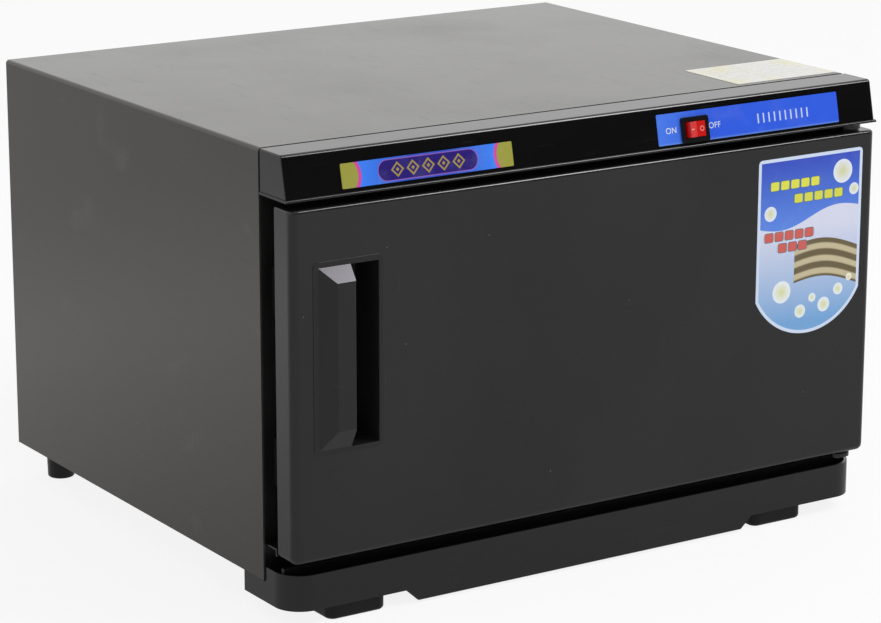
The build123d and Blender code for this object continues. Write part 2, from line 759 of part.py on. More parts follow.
# Drip trough: a moulding with a gutter below the door's edge and two side arms that lie on rails
outer_front = front - trough_face
inner_front = outer_front + trough_wall
inner_half_w = trough_half_w - trough_wall
arm_lip = 9.0
with BuildPart() as drip_trough:
    with BuildSketch(Plane.XY.offset(trough_bottom)) as trough_plan:
        with Locations((0, (outer_front + arm_end) / 2)):
            Rectangle(2 * trough_half_w, arm_end - outer_front)
        fillet(trough_plan.vertices().group_by(Axis.Y)[0], trough_corner_r)
    extrude(amount=trough_top - trough_bottom)
    with BuildSketch(Plane.XY.offset(trough_bottom + trough_wall)) as trough_hollow:
        with Locations((0, (inner_front + arm_end) / 2)):
            Rectangle(2 * inner_half_w, arm_end - inner_front)
        fillet(trough_hollow.vertices().group_by(Axis.Y)[0], trough_corner_r - trough_wall)
    extrude(amount=trough_top - trough_bottom, mode=Mode.SUBTRACT)
    with BuildSketch(Plane.XY.offset(trough_bottom)) as trough_opening:
        with Locations((0, (inner_front + arm_end) / 2)):
            Rectangle(2 * inner_half_w, arm_end - inner_front)
        fillet(trough_opening.vertices().group_by(Axis.Y)[0], trough_corner_r - trough_wall)
        with Locations((0, (gutter_back + arm_end) / 2)):
            Rectangle(2 * inner_half_w, arm_end - gutter_back, mode=Mode.INTERSECT)
    extrude(amount=trough_wall, mode=Mode.SUBTRACT)
    slab((-half_w, half_w), (front - 0.6, arm_end), (arm_top, trough_top), mode=Mode.SUBTRACT)
    with BuildSketch(Plane.XY.offset(trough_bottom)) as gutter_wall:
        with Locations((0, (inner_front + arm_end) / 2)):
            Rectangle(2 * inner_half_w, arm_end - inner_front)
        fillet(gutter_wall.vertices().group_by(Axis.Y)[0], trough_corner_r - trough_wall)
        with Locations((0, gutter_back - trough_wall / 2)):
            Rectangle(2 * inner_half_w, trough_wall, mode=Mode.INTERSECT)
    extrude(amount=gutter_top - trough_bottom)
    with BuildSketch(facing(inner_front)):
        with BuildLine():
            Polyline(
                (skirt_x[0] - skirt_slant, trough_bottom + 1.0),
                (skirt_x[0] + skirt_slant, skirt_bottom),
                (skirt_x[1] - skirt_slant, skirt_bottom),
                (skirt_x[1] + skirt_slant, trough_bottom + 1.0),
                close=True,
            )
        make_face()
    extrude(amount=trough_wall)
    for side in (-1, 1):
        lip_x = sorted((side * inner_half_w, side * (inner_half_w - arm_lip)))
        slab(lip_x, (gutter_back, arm_end), (arm_top - trough_wall, arm_top))
drip_trough.part.label = "drip_trough"
export_step(drip_trough.part, "parts/drip_trough.step")

# Trough rails: under the base pan, one for each arm
rail_shelf_z = arm_top - trough_wall - 0.2
rail_top_x = (198.0, 211.2)
rail_web_x = (210.0, 211.2)
rail_foot_x = (210.0, 219.0)
rail_span = (front + 1.5, front + 44.0)
with BuildPart() as trough_rails:
    for side in (-1, 1):
        slab(sorted(side * x for x in rail_top_x), rail_span, (base, base + sheet))
        slab(sorted(side * x for x in rail_web_x), rail_span, (rail_shelf_z - sheet, base + sheet))
        slab(sorted(side * x for x in rail_foot_x), rail_span, (rail_shelf_z - sheet, rail_shelf_z))
trough_rails.part.label = "trough_rails"
export_step(trough_rails.part, "parts/trough_rails.step")

# Feet and the screws that hold them, driven up from recesses into the base pan
recess_r = 4.5
recess_depth = 10.0
foot_edge_r = 2.5
foot_corner_r = 6.0
land_corner_r = 4.0
rear_foot_edge_r = 1.5
foot_land = (28.0, 18.0)
foot_land_y = front + 17.0
with BuildPart() as front_feet:
    for foot_x, spot_y in foot_spots["front"]:
        with BuildSketch():
            with Locations((foot_x, sum(front_foot_y) / 2)):
                RectangleRounded(front_foot_w, front_foot_y[1] - front_foot_y[0], foot_corner_r)
        extrude(amount=foot_h - 1.0)
    fillet(front_feet.edges().group_by(Axis.Z)[0], foot_edge_r)
    for foot_x, spot_y in foot_spots["front"]:
        toe_x = (foot_x - front_foot_w / 2, foot_x + front_foot_w / 2)
        slab(toe_x, (front_foot_y[0], toe_back_y), (toe_top, foot_h), mode=Mode.SUBTRACT)
        with BuildSketch(Plane.XY.offset(foot_h - 1.0)):
            with Locations((foot_x, foot_land_y)):
                RectangleRounded(*foot_land, land_corner_r)
        extrude(amount=sheet + 1.0)
        with Locations((foot_x, spot_y, 0)):
            Cylinder(recess_r, recess_depth, align=stand, mode=Mode.SUBTRACT)
            Cylinder(screw_hole_r, 2 * foot_h, align=stand, mode=Mode.SUBTRACT)
front_feet.part.label = "front_feet"
export_step(front_feet.part, "parts/front_feet.step")

with BuildPart() as rear_feet:
    for foot_x, spot_y in foot_spots["rear"]:
        with BuildSketch():
            with Locations((foot_x, spot_y)):
                Circle(rear_foot_r[0])
        with BuildSketch(Plane.XY.offset(foot_top)):
            with Locations((foot_x, spot_y)):
                Circle(rear_foot_r[1])
        loft()
        with Locations((foot_x, spot_y, 0)):
            Cylinder(recess_r, recess_depth, align=stand, mode=Mode.SUBTRACT)
            Cylinder(screw_hole_r, 2 * foot_h, align=stand, mode=Mode.SUBTRACT)
    outer_rims = rear_feet.edges().filter_by(GeomType.CIRCLE).group_by(Axis.Z)[0]
    fillet(outer_rims.group_by(SortBy.RADIUS)[-1], rear_foot_edge_r)
rear_feet.part.label = "rear_feet"
export_step(rear_feet.part, "parts/rear_feet.step")

foot_head_r = 4.0
foot_head_h = 2.6
foot_screw_r = 2.0
foot_screw_top = base + 6.0
with BuildPart() as foot_screws:
    with Locations([(x, y, recess_depth - foot_head_h) for x, y in foot_screw_spots]):
        Cylinder(foot_head_r, foot_head_h, align=stand)
    with Locations([(x, y, recess_depth) for x, y in foot_screw_spots]):
        Cylinder(foot_screw_r, foot_screw_top - recess_depth, align=stand)
foot_screws.part.label = "foot_screws"
export_step(foot_screws.part, "parts/foot_screws.step")

# Hinge brackets on the frame: a level plate that carries the pin and a leg behind the door
bracket_t = 2.5
bracket_leg_t = 2.0
bracket_x = (204.0, 220.0)
bracket_w = bracket_x[1] - bracket_x[0]
bracket_leg_h = 34.0
bracket_hole_r = 2.0
upper_plate_z = door_z[1] + 1.2
lower_plate_z = door_z[0] - 1.6
leg_y = (frame_y - bracket_leg_t, frame_y)
hinge_screw_z = [upper_plate_z - 12.0, upper_plate_z - 24.0, lower_plate_z + 12.0, lower_plate_z + 24.0]
with BuildPart() as upper_bracket:
    with BuildSketch(Plane.XY.offset(upper_plate_z)):
        with Locations((pin_x, (pin_y + frame_y) / 2)):
            Rectangle(bracket_w, frame_y - pin_y)
        with Locations((pin_x, pin_y)):
            Circle(bracket_w / 2)
            Circle(pin_r, mode=Mode.SUBTRACT)
    extrude(amount=bracket_t)
    slab(bracket_x, leg_y, (upper_plate_z - bracket_leg_h, upper_plate_z + bracket_t))
    with Locations([(pin_x, leg_y[0], z) for z in hinge_screw_z[:2]]):
        Cylinder(bracket_hole_r, 4 * bracket_leg_t, rotation=(90, 0, 0), mode=Mode.SUBTRACT)
upper_bracket.part.label = "upper_bracket"
export_step(upper_bracket.part, "parts/upper_bracket.step")

with BuildPart() as lower_bracket:
    with BuildSketch(Plane.XY.offset(lower_plate_z)):
        with Locations((pin_x, (pin_y + frame_y) / 2)):
            Rectangle(bracket_w, frame_y - pin_y)
        with Locations((pin_x, pin_y)):
            Circle(bracket_w / 2)
            Circle(pin_r, mode=Mode.SUBTRACT)
    extrude(amount=-bracket_t)
    slab(bracket_x, leg_y, (lower_plate_z - bracket_t, lower_plate_z + bracket_leg_h))
    with Locations([(pin_x, leg_y[0], z) for z in hinge_screw_z[2:]]):
        Cylinder(bracket_hole_r, 4 * bracket_leg_t, rotation=(90, 0, 0), mode=Mode.SUBTRACT)
lower_bracket.part.label = "lower_bracket"
export_step(lower_bracket.part, "parts/lower_bracket.step")

# Hinge pins: one down from the upper bracket, one up from the lower, each with a thin head
pin_length = 16.0
lower_pin_length = 20.0
pin_head_r = pin_r + 1.5
pin_head_h = 1.2
with BuildPart() as hinge_pins:
    with Locations((pin_x, pin_y, upper_plate_z + bracket_t)):
        Cylinder(pin_r, pin_length, align=hang)
        Cylinder(pin_head_r, pin_head_h, align=stand)
    with Locations((pin_x, pin_y, lower_plate_z - bracket_t)):
        Cylinder(pin_r, lower_pin_length, align=stand)
        Cylinder(pin_head_r, pin_head_h, align=hang)
hinge_pins.part.label = "hinge_pins"
export_step(hinge_pins.part, "parts/hinge_pins.step")

hinge_head = (3.5, 1.8)
hinge_shank = (1.9, 8.0)
with BuildPart() as hinge_screws:
    for z in hinge_screw_z:
        with Locations((pin_x, leg_y[0] - hinge_head[1] / 2, z)):
            Cylinder(*hinge_head, rotation=(90, 0, 0))
        with Locations((pin_x, leg_y[0] + hinge_shank[1] / 2, z)):
            Cylinder(*hinge_shank, rotation=(90, 0, 0))
hinge_screws.part.label = "hinge_screws"
export_step(hinge_screws.part, "parts/hinge_screws.step")

# Catch magnets on the frame, and the reed sensor behind it
catch_x = (-216.0, -203.0)
catch_spans = [(base + 60.0, base + 90.0), (base + 168.0, base + 198.0)]
catch_plate_t = 1.3
with BuildPart() as catch_magnets:
    for span_z in catch_spans:
        slab(catch_x, (front - door_back + catch_plate_t + 0.3, frame_y), span_z)
    fillet(catch_magnets.edges().filter_by(Axis.Z).group_by(Axis.Y)[0], 1.0)
catch_magnets.part.label = "catch_magnets"
export_step(catch_magnets.part, "parts/catch_magnets.step")

sensor_x = (-216.0, -204.0)
sensor_z = (base + 114.0, base + 142.0)
with BuildPart() as door_sensor:
    slab(sensor_x, (liner_y, liner_y + 8.0), sensor_z)
    fillet(door_sensor.edges().filter_by(Axis.Z).group_by(Axis.Y)[-1], 1.5)
door_sensor.part.label = "door_sensor"
export_step(door_sensor.part, "parts/door_sensor.step")

# Door outer panel: a pan with rounded front edges, cut for the handle's box and the hinge bushes
door_front_y = front - door_face
door_back_y = front - door_back
handle_box_x = (pocket_x[0] - handle_wall, pocket_x[1] + handle_wall)
handle_box_z = (pocket_z[0] - handle_wall, pocket_z[1] + handle_wall)
box_gap = 0.4
cut_x = (handle_box_x[0] - box_gap, handle_box_x[1] + box_gap)
cut_z = (handle_box_z[0] - box_gap, handle_box_z[1] + box_gap)
bush_r = 5.0
with BuildPart() as door_outer_panel:
    with BuildSketch(Plane.XY.offset(door_z[0])) as door_plan:
        with Locations((door_mid_x, (door_front_y + door_back_y) / 2)):
            Rectangle(door_w, door_back_y - door_front_y)
        fillet(door_plan.vertices().group_by(Axis.Y)[0], door_side_r)
    extrude(amount=door_h)
    pan_mouth = door_outer_panel.faces().sort_by(Axis.Y)[-1]
    for rim_edges, rim_r in (
        (door_outer_panel.edges().group_by(Axis.Z)[0], door_foot_r),
        (door_outer_panel.edges().group_by(Axis.Z)[-1], door_head_r),
    ):
        fillet(rim_edges - pan_mouth.edges(), rim_r)
    pan_mouth = door_outer_panel.faces().sort_by(Axis.Y)[-1]
    offset(amount=-door_skin, openings=pan_mouth)
    slab(cut_x, (door_front_y - 1.0, door_front_y + 3.0), cut_z, mode=Mode.SUBTRACT)
    with Locations((pin_x, pin_y, door_mid_z)):
        Cylinder(bush_r, door_h + 2.0, mode=Mode.SUBTRACT)
door_outer_panel.part.label = "door_outer_panel"
export_step(door_outer_panel.part, "parts/door_outer_panel.step")

# Door inner panel: closes the pan, with a raised field that faces the chamber
field_w = 370.6
field_h = 179.0
field_back_y = front - 4.0
field_corner_r = 8.0
field_edge_r = 3.0
lining_lap = door_skin + 0.4
with BuildPart() as door_inner_panel:
    with BuildSketch(facing(door_back_y)) as lining:
        with Locations((door_mid_x, door_mid_z)):
            Rectangle(door_w - 2 * lining_lap, door_h - 2 * lining_lap)
        fillet(lining.vertices().group_by(Axis.Y)[0], door_foot_r)
        fillet(lining.vertices().group_by(Axis.Y)[-1], door_head_r)
    extrude(amount=door_skin)
    with BuildSketch(facing(field_back_y)):
        with Locations((0, door_mid_z)):
            RectangleRounded(field_w, field_h, field_corner_r)
    extrude(amount=field_back_y - door_back_y)
    fillet(door_inner_panel.edges().group_by(Axis.Y)[-1], field_edge_r)
    with BuildSketch(facing(field_back_y - door_skin)):
        with Locations((0, door_mid_z)):
            inner_corner_r = field_corner_r - door_skin
            RectangleRounded(field_w - 2 * door_skin, field_h - 2 * door_skin, inner_corner_r)
    extrude(amount=field_back_y - door_back_y, mode=Mode.SUBTRACT)
door_inner_panel.part.label = "door_inner_panel"
export_step(door_inner_panel.part, "parts/door_inner_panel.step")

# Reinforcement blocks in the door's right corners, and the flanged bushes that they hold
hinge_block_x = (202.0, 221.5)
hinge_block_y = (front - 28.0, front - 15.6)
hinge_block_spans = [(door_z[0] + 3.5, door_z[0] + 23.0), (door_z[1] - 23.0, door_z[1] - 3.5)]
with BuildPart() as hinge_blocks:
    for span_z in hinge_block_spans:
        slab(hinge_block_x, hinge_block_y, span_z)
    with Locations((pin_x, pin_y, door_mid_z)):
        Cylinder(bush_r, door_h, mode=Mode.SUBTRACT)
hinge_blocks.part.label = "hinge_blocks"
export_step(hinge_blocks.part, "parts/hinge_blocks.step")

bush_length = 14.0
bush_flange_r = bush_r + 2.0
flange_gap = 0.3
with BuildPart() as hinge_bushes:
    with Locations((pin_x, pin_y, door_z[0])):
        Cylinder(bush_r, bush_length, align=stand)
        Cylinder(bush_flange_r, door_z[0] - lower_plate_z - flange_gap, align=hang)
    with Locations((pin_x, pin_y, door_z[1])):
        Cylinder(bush_r, bush_length, align=hang)
        Cylinder(bush_flange_r, upper_plate_z - door_z[1] - flange_gap, align=stand)
    with Locations((pin_x, pin_y, door_mid_z)):
        Cylinder(pin_r + running_gap, 2 * door_h, mode=Mode.SUBTRACT)
hinge_bushes.part.label = "hinge_bushes"
export_step(hinge_bushes.part, "parts/hinge_bushes.step")

# Foam between the panels, cut for the handle's box, the hinge blocks and the sensor's magnet
foam_x = 216.5
foam_margin = 7.0
magnet_y = (front - 21.0, front - 15.4)
foam_y = (door_front_y + 1.6, door_back_y - 1.5)
foam_field_y = field_back_y - 1.4
foam_field_lap = 1.7
with BuildPart() as door_foam:
    slab((-foam_x, foam_x), foam_y, (door_z[0] + foam_margin, door_z[1] - foam_margin))
    with BuildSketch(facing(foam_field_y)):
        with Locations((0, door_mid_z)):
            RectangleRounded(field_w - 2 * foam_field_lap, field_h - 2 * foam_field_lap, 7.0)
    extrude(amount=foam_field_y - foam_y[1])
    slab(
        (handle_box_x[0] - 1.0, handle_box_x[1] + 1.0),
        (door_front_y, front),
        (handle_box_z[0] - 1.0, handle_box_z[1] + 1.0),
        mode=Mode.SUBTRACT,
    )
    for corner_z in ((door_z[0], door_z[0] + 24.0), (door_z[1] - 24.0, door_z[1])):
        slab((hinge_block_x[0] - 1.0, foam_x + 1.0), (door_front_y, front), corner_z, mode=Mode.SUBTRACT)
    slab((sensor_x[0] - 1.0, sensor_x[1] + 0.5), (magnet_y[0] - 0.5, front), sensor_z, mode=Mode.SUBTRACT)
door_foam.part.label = "door_foam"
export_step(door_foam.part, "parts/door_foam.step")

with BuildPart() as sensor_magnet:
    slab(sensor_x, magnet_y, (sensor_z[0] + 1.0, sensor_z[1] - 1.0))
sensor_magnet.part.label = "sensor_magnet"
export_step(sensor_magnet.part, "parts/sensor_magnet.step")

with BuildPart() as catch_plates:
    for span_z in catch_spans:
        slab(catch_x, (door_back_y, door_back_y + catch_plate_t), span_z)
    fillet(catch_plates.edges().filter_by(Axis.Y), 2.0)
catch_plates.part.label = "catch_plates"
export_step(catch_plates.part, "parts/catch_plates.step")

# Gasket: a soft ring with a groove in its door side
gasket_h = gasket_z[1] - gasket_z[0]
gasket_mid_z = sum(gasket_z) / 2
gasket_depth = gasket_reach - door_back_y
groove_w = gasket_w - 2 * gasket_wall
groove_h = gasket_h - 2 * gasket_wall
groove_band = gasket_band - 2 * gasket_wall
gasket_corner_r = 9.0
gasket_inner_r = 3.0
gasket_lip_r = 1.2
gasket_floor = 2.0
with BuildPart() as door_gasket:
    with BuildSketch(facing(gasket_reach)):
        with Locations((0, gasket_mid_z)):
            RectangleRounded(gasket_w, gasket_h, gasket_corner_r)
            inner_w = gasket_w - 2 * gasket_band
            inner_h = gasket_h - 2 * gasket_band
            RectangleRounded(inner_w, inner_h, gasket_inner_r, mode=Mode.SUBTRACT)
    extrude(amount=gasket_depth)
    fillet(door_gasket.edges().group_by(Axis.Y)[-1], gasket_lip_r)
    with BuildSketch(facing(gasket_reach - gasket_floor)):
        with Locations((0, gasket_mid_z)):
            RectangleRounded(groove_w, groove_h, gasket_corner_r - gasket_wall)
            inner_w = groove_w - 2 * groove_band
            inner_h = groove_h - 2 * groove_band
            RectangleRounded(inner_w, inner_h, gasket_inner_r, mode=Mode.SUBTRACT)
    extrude(amount=gasket_depth, mode=Mode.SUBTRACT)
door_gasket.part.label = "door_gasket"
export_step(door_gasket.part, "parts/door_gasket.step")

# Handle moulding: a grip with a sloping top, left side and foot, and the deep box of the pocket
with BuildPart() as door_handle:
    plate_x = (grip_x[0] - handle_margin, pocket_x[1] + handle_margin)
    plate_span_z = (pocket_z[0] - handle_margin, grip_z[1] + handle_margin)
    with BuildSketch(facing(door_front_y)):
        with Locations((sum(plate_x) / 2, sum(plate_span_z) / 2)):
            RectangleRounded(plate_x[1] - plate_x[0], plate_span_z[1] - plate_span_z[0], handle_corner_r)
    extrude(amount=handle_lip)
    fillet(door_handle.edges().group_by(Axis.Y)[0], handle_lip_r)
    with BuildSketch(facing(door_front_y)):
        with Locations((sum(grip_x) / 2, sum(grip_z) / 2)):
            Rectangle(grip_x[1] - grip_x[0], grip_z[1] - grip_z[0])
    with BuildSketch(facing(front - grip_face)):
        with Locations((sum(ridge_x) / 2, sum(ridge_z) / 2)):
            Rectangle(ridge_x[1] - ridge_x[0], ridge_z[1] - ridge_z[0])
    loft()
    fillet(door_handle.edges().group_by(Axis.Y)[0], grip_edge_r)
    slab(handle_box_x, (door_front_y, pocket_floor_y + handle_wall), handle_box_z)
    slab(pocket_x, (front - grip_face, pocket_floor_y), pocket_z, mode=Mode.SUBTRACT)
    right_edges = door_handle.edges().filter_by_position(Axis.X, pocket_x[1] - 0.1, pocket_x[1] + 0.1)
    fillet(right_edges, pocket_edge_r)
door_handle.part.label = "door_handle"
export_step(door_handle.part, "parts/door_handle.step")

# Sticker on the door, with straight sides and an arched foot
sticker_x = (128.0, 215.0)
sticker_top = base + 229.0
sticker_side_foot = base + 134.0
sticker_foot = base + 108.0
sticker_corner_r = 3.0
sticker_t = 0.25
with BuildPart() as door_sticker:
    with BuildSketch(facing(door_front_y)) as sticker_shape:
        with BuildLine():
            Polyline(
                (sticker_x[0], sticker_side_foot),
                (sticker_x[0], sticker_top),
                (sticker_x[1], sticker_top),
                (sticker_x[1], sticker_side_foot),
            )
            ThreePointArc(
                (sticker_x[1], sticker_side_foot),
                (sum(sticker_x) / 2, sticker_foot),
                (sticker_x[0], sticker_side_foot),
            )
        make_face()
        fillet(sticker_shape.vertices().group_by(Axis.Y)[-1], sticker_corner_r)
    extrude(amount=sticker_t)
door_sticker.part.label = "door_sticker"
export_step(door_sticker.part, "parts/door_sticker.step")
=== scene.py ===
"""A counter-top steriliser cabinet in a plain studio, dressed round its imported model.

Lengths are metres in the model's own frame: +Z up, the door toward -Y, and +X to the right of
someone who faces the door. Prints are drawn in millimetres from the middle of their plate.
"""

import json
import logging
import math
from collections.abc import Callable, Mapping, Sequence
from dataclasses import dataclass
from enum import Enum
from functools import cache
from typing import Any, Union

import bmesh
import bpy
from mathutils import Matrix, Vector

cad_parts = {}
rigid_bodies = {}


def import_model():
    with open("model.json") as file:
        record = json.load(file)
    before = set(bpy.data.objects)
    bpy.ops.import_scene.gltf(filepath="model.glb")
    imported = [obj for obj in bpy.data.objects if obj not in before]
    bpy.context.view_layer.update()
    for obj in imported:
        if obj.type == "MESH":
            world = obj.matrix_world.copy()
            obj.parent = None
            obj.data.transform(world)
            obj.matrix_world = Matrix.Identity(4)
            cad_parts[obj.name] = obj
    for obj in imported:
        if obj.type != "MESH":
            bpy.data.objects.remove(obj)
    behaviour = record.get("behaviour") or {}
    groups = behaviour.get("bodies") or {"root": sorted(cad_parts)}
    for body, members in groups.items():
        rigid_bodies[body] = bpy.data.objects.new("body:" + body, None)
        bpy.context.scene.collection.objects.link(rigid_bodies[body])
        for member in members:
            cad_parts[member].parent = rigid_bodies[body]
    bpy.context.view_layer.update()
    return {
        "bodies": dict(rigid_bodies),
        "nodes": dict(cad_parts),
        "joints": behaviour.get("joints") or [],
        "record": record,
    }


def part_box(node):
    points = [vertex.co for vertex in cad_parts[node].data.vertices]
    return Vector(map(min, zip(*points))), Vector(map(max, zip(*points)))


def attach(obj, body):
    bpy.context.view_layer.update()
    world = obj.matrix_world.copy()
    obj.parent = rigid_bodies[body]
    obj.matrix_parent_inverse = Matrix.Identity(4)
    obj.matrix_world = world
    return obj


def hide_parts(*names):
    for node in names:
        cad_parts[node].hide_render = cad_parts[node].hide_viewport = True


log = logging.getLogger("cabinet")

Triple = tuple[float, float, float]
Colour = Triple
Span = tuple[float, float]
Operand = Union["Value", float]

MM = 0.001
WHITE = (1.0, 1.0, 1.0)
EVEN = (1.0, 1.0, 1.0)
SHARP_ANGLE = math.radians(30.0)
WELD_DISTANCE = 0.00001
SRGB_KNEE = 0.04045
SRGB_SLOPE = 12.92
SRGB_OFFSET = 0.055
SRGB_POWER = 2.4


class Body(Enum):
    """The bodies of the model that carry a made piece."""

    CABINET = "cabinet"
    ROCKER = "rocker"


def shade(red: int, green: int, blue: int) -> Colour:
    """Turns a screen colour into the linear colour that a material takes.

    Args:
        red: Level from 0 to 255.
        green: Level from 0 to 255.
        blue: Level from 0 to 255.

    Returns:
        The linear red, green and blue.
    """
    linear = []
    for level in (red, green, blue):
        share = level / 255
        curved = ((share + SRGB_OFFSET) / (1 + SRGB_OFFSET)) ** SRGB_POWER
        linear.append(share / SRGB_SLOPE if share <= SRGB_KNEE else curved)
    return tuple(linear)


@dataclass(frozen=True)
class Wear:
    """Patches of noise on a surface, and how far they move its colour and its roughness.

    The levels are those of the noise at which the patches begin and at which they are full.
    """

    size: float
    levels: Span
    tone: float = 0.0
    gloss: float = 0.0
    detail: float = 4.0
    stretch: Triple = EVEN


class Grain(Enum):
    """What the fine relief of a surface is made of."""

    NOISE = "noise"
    CRYSTALS = "crystals"
    PITS = "F1"
    PEBBLES = "SMOOTH_F1"


@dataclass(frozen=True)
class Relief:
    """Fine relief: its size and height in metres, and how far it moves colour and roughness."""

    size: float
    height: float
    tone: float = 0.0
    gloss: float = 0.0
    detail: float = 1.0
    stretch: Triple = EVEN
    kind: Grain = Grain.NOISE


class Value:
    """A number that a material works out: a node's socket with Python's arithmetic."""

    def __init__(self, graph: "Graph", socket: bpy.types.NodeSocket) -> None:
        """Wraps one output socket of a graph."""
        self.graph = graph
        self.socket = socket

    def __add__(self, other: Operand) -> "Value":
        """Sum."""
        return self.graph.maths("ADD", self, other)

    __radd__ = __add__

    def __sub__(self, other: Operand) -> "Value":
        """Difference."""
        return self.graph.maths("SUBTRACT", self, other)

    def __rsub__(self, other: Operand) -> "Value":
        """Difference with the number first."""
        return self.graph.maths("SUBTRACT", other, self)

    def __mul__(self, other: Operand) -> "Value":
        """Product."""
        return self.graph.maths("MULTIPLY", self, other)

    __rmul__ = __mul__

    def __truediv__(self, other: Operand) -> "Value":
        """Quotient."""
        return self.graph.maths("DIVIDE", self, other)

    def __rtruediv__(self, other: Operand) -> "Value":
        """Quotient with the number first."""
        return self.graph.maths("DIVIDE", other, self)

    def __pow__(self, other: Operand) -> "Value":
        """Power."""
        return self.graph.maths("POWER", self, other)

    def __abs__(self) -> "Value":
        """Size without its sign."""
        return self.graph.maths("ABSOLUTE", self)

    def least(self, other: Operand) -> "Value":
        """The smaller of two numbers."""
        return self.graph.maths("MINIMUM", self, other)

    def most(self, other: Operand) -> "Value":
        """The larger of two numbers."""
        return self.graph.maths("MAXIMUM", self, other)

    def sine(self) -> "Value":
        """Sine of an angle in radians."""
        return self.graph.maths("SINE", self)

    def repeated(self, pitch: float) -> "Value":
        """The number folded into one pitch, from minus half of it to plus half."""
        return self.graph.maths("WRAP", self, pitch / 2, -pitch / 2)

    def span(self, low: float, high: float) -> "Value":
        """How far the number is from low to high, held between 0 and 1."""
        return self.graph.maths("ADD", (self - low) / (high - low), 0.0, clamp=True)


class Graph:
    """A tree of shader nodes, which it adds by type, settings and inputs.

    A speck of dust is full up to its core's part of its radius.
    """

    speck_core = 0.6
    speck_chance_edge = 0.01

    def __init__(self, tree: bpy.types.NodeTree) -> None:
        """Clears the tree and takes it over."""
        self.tree = tree
        self.tree.nodes.clear()

    def node(
        self,
        kind: str,
        settings: Mapping[str, Any] | None = None,
        inputs: Mapping[Any, Any] | None = None,
    ) -> bpy.types.Node:
        """Adds one node.

        Args:
            kind: The node's type.
            settings: Its own settings, which are set first.
            inputs: A value, a link or a wrapped value for each socket by its name or number.

        Returns:
            The new node.
        """
        made = self.tree.nodes.new(kind)
        for name, setting in (settings or {}).items():
            setattr(made, name, setting)
        for name, given in (inputs or {}).items():
            socket = made.inputs[name]
            source = given.socket if isinstance(given, Value) else given
            if isinstance(source, bpy.types.NodeSocket):
                self.tree.links.new(source, socket)
            elif socket.type == "RGBA":
                socket.default_value = (*source, 1.0)
            else:
                socket.default_value = source
        return made

    def maths(self, operation: str, *operands: Operand, clamp: bool = False) -> Value:
        """Adds a Math node.

        Args:
            operation: The node's operation.
            operands: Numbers or values for its sockets in order.
            clamp: Whether the result is held between 0 and 1.

        Returns:
            The result.
        """
        settings = {"operation": operation, "use_clamp": clamp}
        made = self.node("ShaderNodeMath", settings, dict(enumerate(operands)))
        return Value(self, made.outputs[0])

    def split(self, vector: bpy.types.NodeSocket) -> tuple[Value, Value, Value]:
        """The three parts of a vector."""
        made = self.node("ShaderNodeSeparateXYZ", inputs={0: vector})
        return tuple(Value(self, socket) for socket in made.outputs)

    def place(self) -> bpy.types.NodeSocket:
        """The point of the surface in the frame of the model, in metres."""
        return self.node("ShaderNodeTexCoord").outputs["Object"]

    def stretched(self, stretch: Triple) -> bpy.types.NodeSocket:
        """The point of the surface with each direction drawn out by a factor."""
        settings = {"operation": "DIVIDE"}
        made = self.node("ShaderNodeVectorMath", settings, {0: self.place(), 1: stretch})
        return made.outputs[0]

    def noise(self, grain: float, detail: float, stretch: Triple = EVEN) -> Value:
        """Smooth noise from 0 to 1.

        Args:
            grain: Size of its largest forms in metres.
            detail: How many finer layers lie on them.
            stretch: How much longer the forms are in each direction.

        Returns:
            The noise, near 0.5 on average.
        """
        inputs = {"Vector": self.stretched(stretch), "Scale": 1 / grain, "Detail": detail}
        return Value(self, self.node("ShaderNodeTexNoise", inputs=inputs).outputs[0])

    def patches(self, wear: Wear) -> Value:
        """1 in the patches of a wear and 0 elsewhere."""
        return self.noise(wear.size, wear.detail, wear.stretch).span(*wear.levels)

    def relief(self, relief: Relief) -> Value:
        """The height of a relief, from about 0 to 1."""
        if relief.kind is Grain.NOISE:
            return self.noise(relief.size, relief.detail, relief.stretch)
        if relief.kind is Grain.CRYSTALS:
            return self.split(self.cells(relief.size).outputs["Color"])[0]
        return Value(self, self.cells(relief.size, relief.kind.value).outputs["Distance"])

    def cells(self, grain: float, feature: str = "F1") -> bpy.types.Node:
        """Cells about points that are a grain apart."""
        inputs = {"Vector": self.place(), "Scale": 1 / grain}
        return self.node("ShaderNodeTexVoronoi", {"feature": feature}, inputs)

    def specks(self, grain: float, radius: float, share: float) -> Value:
        """Scattered round specks.

        Args:
            grain: Distance between the places where a speck may lie, in metres.
            radius: The speck's radius as a part of that distance.
            share: The part of the places that have one.

        Returns:
            1 in a speck and 0 elsewhere.
        """
        made = self.cells(grain)
        near = Value(self, made.outputs["Distance"]).span(radius, radius * self.speck_core)
        chance = self.split(made.outputs["Color"])[0]
        return near * chance.span(share, share - self.speck_chance_edge)

    def mix(self, factor: Operand, first: Any, second: Any) -> bpy.types.NodeSocket:
        """Mixes two colours.

        Args:
            factor: 0 for the first colour to 1 for the second.
            first: A colour or a link.
            second: A colour or a link.

        Returns:
            The link of the mixed colour.
        """
        made = self.node("ShaderNodeMix", {"data_type": "RGBA"}, {0: factor, 6: first, 7: second})
        return made.outputs[2]

    def bump(self, height: Value, distance: float) -> bpy.types.NodeSocket:
        """A normal that follows a height from 0 to 1, which stands for a distance in metres."""
        inputs = {"Height": height, "Distance": distance, "Strength": 1.0}
        return self.node("ShaderNodeBump", inputs=inputs).outputs[0]


